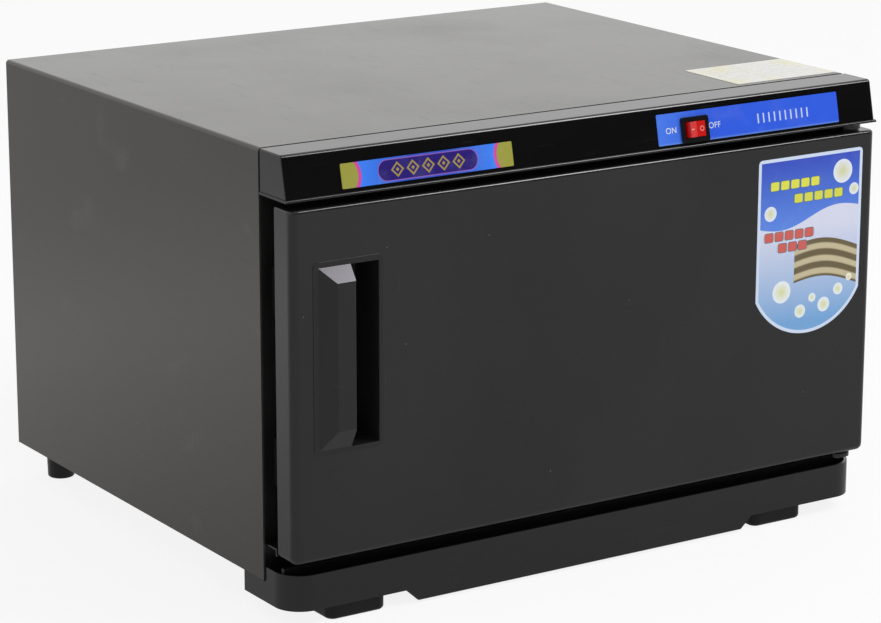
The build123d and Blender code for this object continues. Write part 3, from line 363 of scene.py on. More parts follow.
@dataclass(frozen=True)
class Finish:
    """A surface finish, which becomes one material.

    Its wears and its relief move its colour toward the worn one, and its gloss.
    """

    name: str
    colour: Colour
    roughness: float
    metallic: float = 0.0
    ior: float = 1.5
    transmission: float = 0.0
    gloss_tint: Colour = WHITE
    worn: Colour = shade(70, 70, 72)
    wears: tuple[Wear, ...] = ()
    relief: Relief = Relief(0.0006, 0.000004)

    def surface(self, graph: Graph) -> dict[str, Any]:
        """The inputs that change over the surface, by their names."""
        return self.face(graph, self.colour)

    def face(self, graph: Graph, colour: Any) -> dict[str, Any]:
        """Lays the wears and the relief over a colour.

        Args:
            graph: The graph of the material.
            colour: The colour or the link of the unworn surface.

        Returns:
            The colour, the roughness and the normal.
        """
        height = graph.relief(self.relief)
        layers = [(height, self.relief)] + [(graph.patches(wear), wear) for wear in self.wears]
        tint = sum(amount * layer.tone for amount, layer in layers if layer.tone)
        dulling = sum(amount * layer.gloss for amount, layer in layers if layer.gloss)
        return {
            "Base Color": graph.mix(tint, colour, self.worn),
            "Roughness": self.roughness + dulling,
            "Normal": graph.bump(height, self.relief.height),
        }

    @cache
    def material(self) -> bpy.types.Material:
        """The finish's material, made once."""
        made = bpy.data.materials.new(f"{self.name}_finish")
        made.use_nodes = True
        graph = Graph(made.node_tree)
        inputs = {
            "Metallic": self.metallic,
            "IOR": self.ior,
            "Transmission Weight": self.transmission,
            "Specular Tint": self.gloss_tint,
        }
        inputs.update(self.surface(graph))
        shader = graph.node("ShaderNodeBsdfPrincipled", inputs=inputs)
        graph.node("ShaderNodeOutputMaterial", inputs={"Surface": shader.outputs[0]})
        return made


@dataclass(frozen=True)
class StovedPaint(Finish):
    """Black paint stoved on sheet: orange peel, faint wiped smears, scratches and dust."""

    worn: Colour = shade(60, 58, 55)
    wears: tuple[Wear, ...] = (Wear(0.11, (0.42, 0.68), 0.12, 0.06, stretch=(1.0, 1.0, 1.6)),)
    relief: Relief = Relief(0.0022, 0.000012)
    scratches: Wear = Wear(0.0012, (0.66, 0.76), gloss=0.08, detail=1.0, stretch=(1.0, 34.0, 26.0))
    scratching: float = 0.03
    specks: Triple = (0.012, 0.035, 0.3)
    speck_tone: float = 0.35
    speck_gloss: float = 0.3
    dust: Colour = shade(190, 186, 178)

    def surface(self, graph: Graph) -> dict[str, Any]:
        """Pale scratches and specks of dust lie over the smears."""
        face = self.face(graph, self.colour)
        scratch, speck = graph.patches(self.scratches), graph.specks(*self.specks)
        pale = (speck * self.speck_tone).most(scratch * self.scratching)
        dulling = scratch * self.scratches.gloss + speck * self.speck_gloss
        face["Base Color"] = graph.mix(pale, face["Base Color"], self.dust)
        face["Roughness"] = face["Roughness"] + dulling
        return face


@dataclass(frozen=True)
class Moulding(Finish):
    """Black moulded plastic: flow lines under the gloss, fine scuffs and a fine grain."""

    wears: tuple[Wear, ...] = (
        Wear(0.05, (0.35, 0.75), 0.03, 0.04, detail=3.0, stretch=(3.0, 1.0, 1.0)),
        Wear(0.0009, (0.68, 0.78), 0.08, 0.1, detail=1.0, stretch=(40.0, 6.0, 3.0)),
    )
    relief: Relief = Relief(0.0006, 0.000004, detail=2.0)


@dataclass(frozen=True)
class Rubber(Finish):
    """Moulded black rubber with a pitted grain and pale dust in patches."""

    worn: Colour = shade(74, 72, 68)
    wears: tuple[Wear, ...] = (Wear(0.02, (0.5, 0.8), 0.2, 0.15),)
    relief: Relief = Relief(0.0007, 0.00003, kind=Grain.PITS)


@dataclass(frozen=True)
class BrushedSheet(Finish):
    """Brushed sheet metal with long fine lines and wiped stains."""

    metallic: float = 1.0
    worn: Colour = shade(150, 148, 142)
    wears: tuple[Wear, ...] = (Wear(0.06, (0.45, 0.75), 0.35, 0.06),)
    relief: Relief = Relief(0.0005, 0.000008, 0.2, 0.16, detail=2.0, stretch=(60.0, 1.0, 1.0))


@dataclass(frozen=True)
class ZincSheet(Finish):
    """Galvanised sheet with flat crystals, each of its own grey and gloss, and dull grime."""

    metallic: float = 1.0
    worn: Colour = shade(150, 153, 156)
    wears: tuple[Wear, ...] = (Wear(0.03, (0.5, 0.8), gloss=0.15),)
    relief: Relief = Relief(0.007, 0.000004, 0.6, 0.12, kind=Grain.CRYSTALS)


@dataclass(frozen=True)
class PlatedMetal(Finish):
    """Plated or turned metal with a slight haze and fine marks from its making."""

    metallic: float = 1.0
    worn: Colour = shade(150, 146, 138)
    wears: tuple[Wear, ...] = (Wear(0.008, (0.4, 0.75), 0.3, 0.12, detail=3.0),)
    relief: Relief = Relief(0.0004, 0.000003, gloss=0.06, stretch=(4.0, 4.0, 1.0))


@dataclass(frozen=True)
class FormedSheet(Finish):
    """Pale plastic or ceramic, slightly mottled, with a fine pebbled skin."""

    worn: Colour = shade(176, 177, 172)
    wears: tuple[Wear, ...] = (Wear(0.03, (0.35, 0.8), 0.45, 0.1),)
    relief: Relief = Relief(0.0009, 0.00001, kind=Grain.PEBBLES)


@dataclass(frozen=True)
class Foam(Finish):
    """Cut rigid foam: open cells whose lower floors are darkened with painted shade."""

    cell: float = 0.0016
    cell_depth: float = 0.0004
    floor_levels: Span = (0.6, 0.1)
    floor_shade_tone: float = 0.6
    floor_gloss: float = 0.05
    hollow_shade: Colour = shade(176, 158, 104)

    def surface(self, graph: Graph) -> dict[str, Any]:
        """The cells' floors are lower, and painted shade darkens them."""
        depth = Value(graph, graph.cells(self.cell).outputs["Distance"]).span(*self.floor_levels)
        return {
            # Painted shade: each cell's floor is darkened toward the hollow shade colour.
            "Base Color": graph.mix(depth * self.floor_shade_tone, self.colour, self.hollow_shade),
            "Roughness": self.roughness - depth * self.floor_gloss,
            "Normal": graph.bump(1.0 - depth, self.cell_depth),
        }


@dataclass(frozen=True)
class Wool(Finish):
    """Mineral wool: matted fibres that lie mostly along the slab."""

    fibre: float = 0.0005
    fibre_depth: float = 0.0008
    fibre_gloss: float = 0.05
    layers: tuple[Triple, Triple] = ((14.0, 3.0, 1.0), (2.0, 16.0, 1.5))
    levels: Span = (0.7, 1.3)
    shadow: Colour = shade(150, 132, 88)

    def surface(self, graph: Graph) -> dict[str, Any]:
        """Two layers of fibres, one along each way of the slab."""
        along, across = (graph.noise(self.fibre, 3.0, stretch) for stretch in self.layers)
        fibres = (along + across).span(*self.levels)
        return {
            "Base Color": graph.mix(1.0 - fibres, self.colour, self.shadow),
            "Roughness": self.roughness - fibres * self.fibre_gloss,
            "Normal": graph.bump(fibres, self.fibre_depth),
        }


@dataclass(frozen=True)
class Quartz(Finish):
    """Clear quartz that is darkened near the electrodes by use."""

    transmission: float = 1.0
    burnt_from: Span = (0.084, 0.102)
    burnt_tone: float = 0.75
    burnt_gloss: float = 0.2
    burnt: Colour = shade(120, 112, 104)
    haze: Wear = Wear(0.01, (0.5, 0.8), gloss=0.04, detail=2.0)

    def surface(self, graph: Graph) -> dict[str, Any]:
        """The ends are darker, with a faint haze all over."""
        end = abs(graph.split(graph.place())[0]).span(*self.burnt_from)
        haze = graph.patches(self.haze) * self.haze.gloss
        return {
            "Base Color": graph.mix(end * self.burnt_tone, self.colour, self.burnt),
            "Roughness": self.roughness + end * self.burnt_gloss + haze,
        }


@dataclass(frozen=True)
class Print(Finish):
    """Film or paper printed with flat shapes, placed from the middle of its plate."""

    worn: Colour = shade(170, 176, 190)
    wears: tuple[Wear, ...] = (Wear(0.012, (0.5, 0.8), 0.06, 0.08, detail=3.0),)
    relief: Relief = Relief(0.0004, 0.000004, gloss=0.04)
    middle: Triple = (0.0, 0.0, 0.0)
    edge: float = 0.12

    def spot(self, graph: Graph) -> tuple[Value, Value]:
        """Millimetres across and up from the middle of the plate."""
        x, _, z = graph.split(graph.place())
        return (x - self.middle[0]) / MM, (z - self.middle[2]) / MM

    def inside(self, distance: Value) -> Value:
        """1 where a distance to an outline is positive, with a soft edge."""
        return distance.span(-self.edge, self.edge)

    def disc(self, across: Value, up: Value, radius: float) -> Value:
        """Distance inside a circle about the point where both are 0."""
        return radius - (across * across + up * up) ** 0.5

    def block(self, across: Value, up: Value, half: Span, corner: float) -> Value:
        """Distance inside a rectangle with round corners.

        Args:
            across: Millimetres across from its middle.
            up: Millimetres up from its middle.
            half: Half of its width and of its height.
            corner: Radius of its corners.

        Returns:
            The distance, positive inside.
        """
        beyond_x = (abs(across) - (half[0] - corner)).most(0.0)
        beyond_y = (abs(up) - (half[1] - corner)).most(0.0)
        return self.disc(beyond_x, beyond_y, corner)


@dataclass(frozen=True)
class TitlePrint(Print):
    """Metallised film: olive ends with a pink rim, a blue field and a dark pill of lozenges."""

    dark_blue: Colour = shade(50, 84, 196)
    olive: Colour = shade(158, 158, 66)
    pink: Colour = shade(214, 74, 160)
    violet: Colour = shade(150, 96, 190)
    indigo: Colour = shade(42, 28, 118)
    gold: Colour = shade(176, 152, 54)
    glow_levels: Span = (0.2, 0.85)
    end_at: float = 62.0
    end_radius: float = 14.5
    end_rim: float = 2.2
    pill_half: Span = (35.5, 6.0)
    pill_rim: float = 0.5
    mark_pitch: float = 11.0
    mark_count: int = 5
    mark_outline: float = 3.9
    mark_stroke: float = 0.75
    mark_core: float = 1.3
    mark_cover: float = 0.85

    def surface(self, graph: Graph) -> dict[str, Any]:
        """Layers the field, the ends, the pill with its pale rim, and the row of lozenges."""
        across, up = self.spot(graph)
        glow = (abs(across) / self.end_at).span(*self.glow_levels)
        end = self.disc(self.end_at - abs(across), up, self.end_radius)
        pill = self.block(across, up, self.pill_half, corner=self.pill_half[1])
        colour = graph.mix(glow, self.dark_blue, self.colour)
        for distance, dye in (
            (end, self.pink),
            (end - self.end_rim, self.olive),
            (pill + self.pill_rim, self.violet),
            (pill, self.indigo),
        ):
            colour = graph.mix(self.inside(distance), colour, dye)
        lozenge = abs(across.repeated(self.mark_pitch)) + abs(up)
        stroke = self.mark_stroke - abs(lozenge - self.mark_outline)
        row = self.mark_count * self.mark_pitch / 2 - abs(across)
        marks = self.inside(stroke.most(self.mark_core - lozenge).least(row))
        return self.face(graph, graph.mix(marks * self.mark_cover, colour, self.gold))


@dataclass(frozen=True)
class ControlPrint(Print):
    """Blue film, lighter toward its left end, with a row of plain white ticks on the right."""

    light: Colour = shade(66, 120, 232)
    light_levels: Span = (-30.0, -74.0)
    foot: Colour = shade(110, 150, 210)
    foot_levels: Span = (-8.2, -9.4)
    foot_cover: float = 0.5
    tick: Colour = shade(214, 226, 245)
    tick_cover: float = 0.8
    tick_from: float = 5.0
    tick_pitch: float = 4.5
    tick_count: int = 10
    tick_half: Span = (0.55, 3.1)
    tick_corner: float = 0.4
    tick_drop: float = 0.6

    def surface(self, graph: Graph) -> dict[str, Any]:
        """The ticks are pale, and a light line runs along the foot of the plate."""
        across, up = self.spot(graph)
        colour = graph.mix(across.span(*self.light_levels), self.colour, self.light)
        colour = graph.mix(up.span(*self.foot_levels) * self.foot_cover, colour, self.foot)
        half_row = self.tick_pitch * self.tick_count / 2
        row = half_row - abs(across - (self.tick_from + half_row))
        folded = (across - self.tick_from - self.tick_pitch / 2).repeated(self.tick_pitch)
        tick = self.block(folded, up + self.tick_drop, self.tick_half, self.tick_corner)
        ticks = self.inside(tick.least(row)) * self.tick_cover
        return self.face(graph, graph.mix(ticks, colour, self.tick))


@dataclass(frozen=True)
class Wave:
    """A line that swings up and down: its length over two pi, its height and its start."""

    length: float
    height: float
    start: float = 0.0

    def at(self, across: Value) -> Value:
        """Height of the line at a place across."""
        return (across / self.length + self.start).sine() * self.height


@dataclass(frozen=True)
class StickerPrint(Print):
    """Gloss sticker: a pale rim round a sky with bubbles, rows of plain dashes and a cloth."""

    half_width: float = 43.5
    half_height: float = 60.5
    arch: float = 26.0
    rim: float = 2.2
    rim_dye: Colour = shade(206, 220, 240)
    low_sky: tuple[Colour, Colour] = (shade(112, 164, 214), shade(212, 216, 234))
    low_levels: Span = (-52.0, 12.0)
    high_sky: tuple[Colour, Colour] = (shade(84, 132, 226), shade(44, 74, 190))
    high_levels: Span = (14.0, 58.0)
    crest_at: float = 18.0
    crest: tuple[Wave, Wave] = (Wave(13.0, 3.5), Wave(31.0, 4.0))
    cloth: tuple[Colour, Colour] = (shade(104, 92, 62), shade(196, 184, 148))
    cloth_from: float = -12.0
    cloth_at: float = -14.0
    cloth_half: float = 13.0
    cloth_fall: float = 0.1
    cloth_swing: Wave = Wave(17.0, 5.0, 0.8)
    fold: float = 1.35
    fold_levels: Span = (-0.3, 0.5)
    dash_half: Span = (3.4, 2.9)
    dash_corner: float = 1.0
    dash_pitch: float = 8.4
    dash_rim: float = 0.45
    dash_edge: Colour = shade(60, 110, 120)
    rows: tuple[tuple[float, float, float, Colour], ...] = (
        (-13.0, 42.0, 21.0, shade(222, 222, 70)),
        (7.0, 32.0, 21.0, shade(214, 216, 66)),
        (-17.0, 8.0, 21.0, shade(206, 92, 84)),
        (-14.0, 0.0, 12.6, shade(206, 92, 84)),
    )
    bubble: tuple[Colour, Colour] = (shade(226, 226, 150), shade(240, 246, 250))
    bubble_core: float = 0.9
    bubble_cover: float = 0.85
    bubbles: tuple[Triple, ...] = (
        (27.0, 46.0, 8.0),
        (37.0, 33.0, 4.0),
        (-33.0, 24.0, 5.0),
        (-22.0, -30.0, 7.5),
        (-6.0, -45.0, 4.5),
        (4.0, -37.0, 3.0),
        (14.0, -43.0, 5.0),
        (26.0, -34.0, 4.0),
        (35.0, -27.0, 2.5),
    )

    def outline(self, across: Value, up: Value) -> Value:
        """Distance inside the sticker, which has straight sides and an arched foot."""
        radius = (self.half_width**2 + self.arch**2) / (2 * self.arch)
        centre = radius - self.half_height
        arc = self.disc(across, (up - centre).least(0.0), radius)
        return (self.half_width - abs(across)).least(self.half_height - up).least(arc)

    def surface(self, graph: Graph) -> dict[str, Any]:
        """Layers the sky, its crest, the cloth, the dashes and the bubbles inside the rim."""
        across, up = self.spot(graph)
        colour = graph.mix(up.span(*self.low_levels), *self.low_sky)
        sky = graph.mix(up.span(*self.high_levels), *self.high_sky)
        crest = self.crest[0].at(across) + self.crest[1].at(across)
        colour = graph.mix(self.inside(up - self.crest_at - crest), colour, sky)
        flow = self.cloth_swing.at(across) - across * self.cloth_fall
        band = (self.cloth_half - abs(up - self.cloth_at - flow)).least(across - self.cloth_from)
        cloth = graph.mix(((up - flow) / self.fold).sine().span(*self.fold_levels), *self.cloth)
        colour = graph.mix(self.inside(band), colour, cloth)
        for left, height, half, dye in self.rows:
            folded = (across - left).repeated(self.dash_pitch)
            dash = self.block(folded, up - height, self.dash_half, self.dash_corner)
            dash = dash.least(half - abs(across - left))
            colour = graph.mix(self.inside(dash + self.dash_rim), colour, self.dash_edge)
            colour = graph.mix(self.inside(dash), colour, dye)
        for left, height, radius in self.bubbles:
            bubble = self.disc(across - left, up - height, radius)
            body = graph.mix(bubble.span(radius * self.bubble_core, 0.0), *self.bubble)
            colour = graph.mix(self.inside(bubble) * self.bubble_cover, colour, body)
        frame = 1.0 - self.inside(self.outline(across, up) - self.rim)
        return self.face(graph, graph.mix(frame, colour, self.rim_dye))


@dataclass(frozen=True)
class LabelPrint(Print):
    """Coated paper with rows of faint grey bars and a pale yellow tint."""

    tint: Wear = Wear(0.03, (0.45, 0.65), tone=0.5, detail=1.0)
    yellow: Colour = shade(226, 222, 176)
    text_half: Span = (35.0, 24.0)
    text_corner: float = 1.0
    row_pitch: float = 6.0
    bar_half: float = 0.8
    breaks: Wear = Wear(0.004, (0.47, 0.5), tone=0.4, detail=0.0, stretch=(1.0, 0.2, 1.0))
    grey: Colour = shade(120, 120, 118)

    def spot(self, graph: Graph) -> tuple[Value, Value]:
        """Millimetres to the right and to the back from the middle of the label."""
        x, y, _ = graph.split(graph.place())
        return (x - self.middle[0]) / MM, (y - self.middle[1]) / MM

    def surface(self, graph: Graph) -> dict[str, Any]:
        """Broken bars stand where small print would be, inside a plain margin."""
        across, up = self.spot(graph)
        colour = graph.mix(graph.patches(self.tint) * self.tint.tone, self.colour, self.yellow)
        row = self.bar_half - abs(up.repeated(self.row_pitch))
        text = self.block(across, up, self.text_half, self.text_corner)
        bars = self.inside(row.least(text)) * graph.patches(self.breaks) * self.breaks.tone
        return self.face(graph, graph.mix(bars, colour, self.grey))


Dressing = dict[Finish, tuple[str, ...]]

ZINC_PLATING = PlatedMetal("zinc_plating", shade(196, 196, 190), 0.28)
SMOOTH_PEEL = Relief(0.0022, 0.000006)
INK_SKIN = Relief(0.0009, 0.000002, kind=Grain.PEBBLES)


def placed(name: str, data: bpy.types.ID) -> bpy.types.Object:
    """A new object in the scene with the data that it is given."""
    item = bpy.data.objects.new(name, data)
    bpy.context.scene.collection.objects.link(item)
    return item


def mesh_of_curve(curve: bpy.types.Curve) -> bpy.types.Mesh:
    """The mesh of a curve or a text, which no object keeps."""
    holder = bpy.data.objects.new(curve.name, curve)
    mesh = bpy.data.meshes.new_from_object(holder)
    bpy.data.objects.remove(holder)
    return mesh


@dataclass
class Assembly:
    """A sub-assembly: it dresses its CAD pieces and adds its own."""

    frame: Mapping[str, Any]

    def finishes(self) -> Dressing:
        """Each finish with the CAD pieces that it goes on, if there are any."""
        return {}

    def pieces(self) -> None:
        """Adds the pieces that CAD doesn't have."""

    def build(self) -> None:
        """Dresses the CAD pieces, then adds the others."""
        for finish, nodes in self.finishes().items():
            for node in nodes:
                item = self.frame["nodes"][node]
                for place in item.material_slots:
                    place.material = finish.material()
                log.info("%s: %s has %s", type(self).__name__, node, finish.name)
        self.pieces()

    def add(
        self,
        name: str,
        mesh: bpy.types.Mesh,
        finish: Finish,
        body: Body,
        slot: str,
        replaced: Sequence[str] = (),
    ) -> bpy.types.Object:
        """Puts one made piece on its body.

        Args:
            name: The piece's name.
            mesh: Its mesh, in the frame of the model.
            finish: Its finish.
            body: The body that it moves with.
            slot: The record's material slot for the piece. Not used.
            replaced: The CAD nodes that it stands for.

        Returns:
            The piece.
        """
        item = placed(name, mesh)
        mesh.name = name
        mesh.materials.clear()
        mesh.materials.append(finish.material())
        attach(item, body.value)
        if replaced:
            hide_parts(*replaced)
        log.info("%s: made %s", type(self).__name__, name)
        return item

    def middle(self, node: str) -> Vector:
        """The middle of a CAD node's box."""
        low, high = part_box(node)
        return (low + high) / 2


def mesh_of(make: Callable[[bmesh.types.BMesh], None]) -> bpy.types.Mesh:
    """Makes a mesh with one function.

    Args:
        make: Fills the empty bmesh that it is given.

    Returns:
        The mesh, shaded smooth but for its sharp edges, and not yet in any object.
    """
    form = bmesh.new()
    make(form)
    bmesh.ops.recalc_face_normals(form, faces=form.faces)
    for face in form.faces:
        face.smooth = True
    for edge in form.edges:
        if len(edge.link_faces) == 2 and edge.calc_face_angle() > SHARP_ANGLE:
            edge.smooth = False
    mesh = bpy.data.meshes.new("made")
    form.to_mesh(mesh)
    form.free()
    return mesh


def turned(form: bmesh.types.BMesh, profile: Sequence[Span], steps: int) -> None:
    """Turns a profile about Z.

    Args:
        form: The bmesh that takes the faces.
        profile: Radius and height of each point, from end to end.
        steps: How many faces go round.
    """
    rings = []
    for radius, height in profile:
        angles = (2 * math.pi * step / steps for step in range(steps if radius > 0 else 1))
        points = [(radius * math.cos(angle), radius * math.sin(angle)) for angle in angles]
        rings.append([form.verts.new((x, y, height)) for x, y in points])
    for lower, upper in zip(rings, rings[1:]):
        for step in range(steps):
            after = (step + 1) % steps
            corners = [lower[step % len(lower)], lower[after % len(lower)]]
            corners += [upper[after % len(upper)], upper[step % len(upper)]]
            form.faces.new(list(dict.fromkeys(corners)))


def prism(form: bmesh.types.BMesh, outline: Sequence[Span], bottom: float, top: float) -> None:
    """Adds an upright prism over an outline.

    Args:
        form: The bmesh that takes the faces.
        outline: Its points in X and Y, in order.
        bottom: Height of its foot.
        top: Height of its top.
    """
    lower = [form.verts.new((x, y, bottom)) for x, y in outline]
    upper = [form.verts.new((x, y, top)) for x, y in outline]
    form.faces.new(list(reversed(lower)))
    form.faces.new(upper)
    for here in range(len(outline)):
        after = (here + 1) % len(outline)
        form.faces.new([lower[here], lower[after], upper[after], upper[here]])


def islands(node: bpy.types.Object) -> list[tuple[Vector, Vector]]:
    """The boxes of a CAD node's separate solids.

    Args:
        node: The node, whose mesh lies in the frame of the model.

    Returns:
        The lowest and highest corner of each solid.
    """
    form = bmesh.new()
    form.from_mesh(node.data)
    bmesh.ops.remove_doubles(form, verts=form.verts, dist=WELD_DISTANCE)
    left = set(form.verts)
    boxes = []
    while left:
        front = [left.pop()]
        found = []
        while front:
            here = front.pop()
            found.append(here.co.copy())
            linked = {edge.other_vert(here) for edge in here.link_edges} & left
            left -= linked
            front += linked
        boxes.append((Vector(map(min, zip(*found))), Vector(map(max, zip(*found)))))
    form.free()
    return sorted(boxes, key=lambda box: tuple(box[0]))


@dataclass(frozen=True)
class PanScrew:
    """A pan-head screw with a cross recess, made upright with its seat at height 0.

    Its dome and its cross are given as parts of the head's radius and height.
    """

    head_radius: float
    head_height: float
    shank_radius: float
    shank_length: float
    thread_pitch: float = 0.0014
    thread_root: float = 0.82
    steps: int = 32
    dome: tuple[Span, ...] = ((0, 1), (0.5, 0.97), (0.78, 0.84), (0.93, 0.6), (1, 0.3), (0.98, 0))
    cross_reach: float = 0.56
    cross_half: float = 0.13
    cross_floor: float = 0.3
    cross_top: float = 1.5

    def mesh(self) -> bpy.types.Mesh:
        """The head with its recess and the threaded shank below it."""
        body = placed("screw_blank", mesh_of(self.blank))
        tool = placed("screw_recess", mesh_of(self.recess))
        cut = body.modifiers.new("recess", "BOOLEAN")
        cut.operation = "DIFFERENCE"
        cut.object = tool
        seen = body.evaluated_get(bpy.context.evaluated_depsgraph_get())
        mesh = bpy.data.meshes.new_from_object(seen)
        for item in (body, tool):
            bpy.data.objects.remove(item)
        return mesh

    def blank(self, form: bmesh.types.BMesh) -> None:
        """Turns the domed head and the shank with its thread's crests."""
        profile = [(out * self.head_radius, up * self.head_height) for out, up in self.dome]
        profile += [(self.shank_radius, 0.0)]
        for crest in range(int(self.shank_length / self.thread_pitch)):
            root = -(crest + 0.5) * self.thread_pitch
            profile += [(self.shank_radius * self.thread_root, root)]
            profile += [(self.shank_radius, root - self.thread_pitch / 2)]
        turned(form, profile + [(0.0, -self.shank_length)], self.steps)

    def recess(self, form: bmesh.types.BMesh) -> None:
        """The cross that takes the driver, as an upright block with twelve sides."""
        reach, half = self.head_radius * self.cross_reach, self.head_radius * self.cross_half
        quarter = [(reach, -half), (reach, half), (half, half)]
        outline = []
        for turn in range(4):
            angle = math.pi / 2 * turn
            cosine, sine = math.cos(angle), math.sin(angle)
            outline += [(x * cosine - y * sine, x * sine + y * cosine) for x, y in quarter]
        height = self.head_height
        prism(form, outline, height * self.cross_floor, height * self.cross_top)

    def set_of(self, places: Sequence[tuple[Vector, Vector, float]]) -> bpy.types.Mesh:
        """Copies the screw to several places.

        Args:
            places: For each screw, its seat, the way that its head faces and its turn in radians.

        Returns:
            One mesh with all of them.
        """
        one = self.mesh()
        form = bmesh.new()
        for seat, facing, turn in places:
            before = len(form.verts)
            form.from_mesh(one)
            form.verts.ensure_lookup_table()
            swing = facing.to_track_quat("Z", "Y").to_matrix().to_4x4()
            there = Matrix.Translation(seat) @ swing @ Matrix.Rotation(turn, 4, "Z")
            bmesh.ops.transform(form, matrix=there, verts=form.verts[before:])
        mesh = bpy.data.meshes.new("screws")
        form.to_mesh(mesh)
        form.free()
        return mesh


@dataclass
class ScrewSet(Assembly):
    """Sets of cross-recess screws, each in the place of its CAD node.

    A set has its CAD node, its screw and the way that its heads face.
    """

    turn_step: float = 0.7
    sets: tuple[tuple[str, PanScrew, Triple], ...] = (
        ("rear_screws", PanScrew(0.0036, 0.0016, 0.0017, 0.007), (0.0, 1.0, 0.0)),
        ("foot_screws", PanScrew(0.004, 0.0026, 0.002, 0.02), (0.0, 0.0, -1.0)),
        ("hinge_screws", PanScrew(0.0035, 0.0018, 0.0019, 0.008), (0.0, -1.0, 0.0)),
    )

    def place(self, node: str, screw: PanScrew, facing: Vector) -> None:
        """Puts a screw on each solid of a CAD node.

        Args:
            node: The CAD node of the plain screws.
            screw: The screw that stands for each.
            facing: The way that the heads face.
        """
        spots = []
        for count, (low, high) in enumerate(islands(self.frame["nodes"][node])):
            middle, half = (low + high) / 2, (high - low) / 2
            reach = abs(half.dot(facing)) - screw.head_height
            spots.append((middle + facing * reach, facing, count * self.turn_step))
        mesh = screw.set_of(spots)
        self.add(node + "_detailed", mesh, ZINC_PLATING, Body.CABINET, "zinc_screw", [node])

    def pieces(self) -> None:
        """The screws of the rear panel, the feet and the hinge brackets."""
        for node, screw, facing in self.sets:
            self.place(node, screw, Vector(facing))


@dataclass
class Casing(Assembly):
    """The painted shell, its inner pans, the rear panel with its gland, and the label on top."""

    def finishes(self) -> Dressing:
        """Painted outside, galvanised inside."""
        label = tuple(self.middle("paper_label"))
        return {
            StovedPaint("shell_paint", shade(52, 48, 43), 0.17): ("outer_shell",),
            StovedPaint("rear_paint", shade(24, 24, 24), 0.24, scratching=0.015): ("rear_panel",),
            StovedPaint("frame_paint", shade(14, 14, 14), 0.3): ("front_frame",),
            ZincSheet("galvanised_sheet", shade(190, 192, 194), 0.38): ("base_pan", "trough_rails"),
            Moulding("gland_plastic", shade(22, 22, 22), 0.42): ("cord_gland", "gland_nut"),
            LabelPrint("label_print", shade(226, 226, 220), 0.5, middle=label): ("paper_label",),
        }


@dataclass
class Chamber(Assembly):
    """The bright liner with its rails and racks, and the lamp behind its guard."""

    coil_radius: float = 0.0013
    coil_length: float = 0.00676
    coil_turns: int = 7
    coil_wire: float = 0.00016
    turn_points: int = 12
    support_length: float = 0.011
    support_apart: float = 0.00676

    def finishes(self) -> Dressing:
        """Stainless and plated metal round clear quartz."""
        return {
            BrushedSheet("stainless_sheet", shade(206, 208, 210), 0.24): (
                "chamber_liner",
                "rack_rails",
                "lamp_guard",
            ),
            PlatedMetal("bright_wire", shade(222, 223, 224), 0.1): ("upper_rack", "lower_rack"),
            Quartz("quartz_tube", shade(238, 244, 250), 0.02, ior=1.46): ("lamp_tube",),
            PlatedMetal("lamp_aluminium", shade(204, 205, 207), 0.3): ("lamp_caps", "heater_plate"),
            FormedSheet("lamp_ceramic", shade(226, 223, 212), 0.35): ("lamp_holders",),
        }

    def pieces(self) -> None:
        """A wound filament on two supports stands inside each end of the lamp."""
        low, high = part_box("lamp_tube")
        axis_y, axis_z = (low.y + high.y) / 2, (low.z + high.z) / 2
        tungsten = PlatedMetal("tungsten_wire", shade(120, 118, 116), 0.35)
        for side, end, inward in (("left", low.x, 1), ("right", high.x, -1)):
            at_x = end + inward * self.support_length
            runs = [self.filament(Vector((at_x, axis_y, axis_z)))]
            for offset in (-1, 1):
                foot = axis_y + offset * self.support_apart / 2
                runs.append([Vector((end, foot, axis_z)), Vector((at_x, foot, axis_z))])
            mesh = self.wire(runs)
            self.add(f"lamp_electrode_{side}", mesh, tungsten, Body.CABINET, "lamp_metal")

    def filament(self, middle: Vector) -> list[Vector]:
        """Points of a coil whose axis lies along Y."""
        steps = self.coil_turns * self.turn_points
        points = []
        for step in range(steps + 1):
            angle = 2 * math.pi * self.coil_turns * step / steps
            around = Vector((math.cos(angle), 0.0, math.sin(angle))) * self.coil_radius
            along = Vector((0.0, (step / steps - 0.5) * self.coil_length, 0.0))
            points.append(middle + around + along)
        return points

    def wire(self, runs: Sequence[Sequence[Vector]]) -> bpy.types.Mesh:
        """Round wire along each run of points, as one mesh."""
        path = bpy.data.curves.new("wire_path", "CURVE")
        path.dimensions = "3D"
        path.bevel_depth = self.coil_wire
        path.bevel_resolution = 2
        path.use_fill_caps = True
        for run in runs:
            spline = path.splines.new("POLY")
            spline.points.add(len(run) - 1)
            for point, spot in zip(spline.points, run):
                point.co = (*spot, 1.0)
        return mesh_of_curve(path)


@dataclass
class Works(Assembly):
    """The heater below the chamber, the mains parts behind it, the wires and the insulation."""

    def finishes(self) -> Dressing:
        """Each part as it is bought."""
        return {
            PlatedMetal("heater_case", shade(186, 186, 184), 0.42): ("heater_bars",),
            Moulding("phenolic", shade(44, 38, 34), 0.45): ("thermostat", "thermal_fuse"),
            ZincSheet("ballast_steel", shade(150, 150, 152), 0.4): ("ballast",),
            FormedSheet("white_moulding", shade(222, 221, 214), 0.4): (
                "lamp_starter",
                "terminal_block",
            ),
            Wool("mineral_wool", shade(206, 190, 140), 0.95): ("insulation",),
            Rubber("wire_skin", shade(150, 24, 20), 0.45, worn=shade(190, 110, 100)): ("wires",),
        }


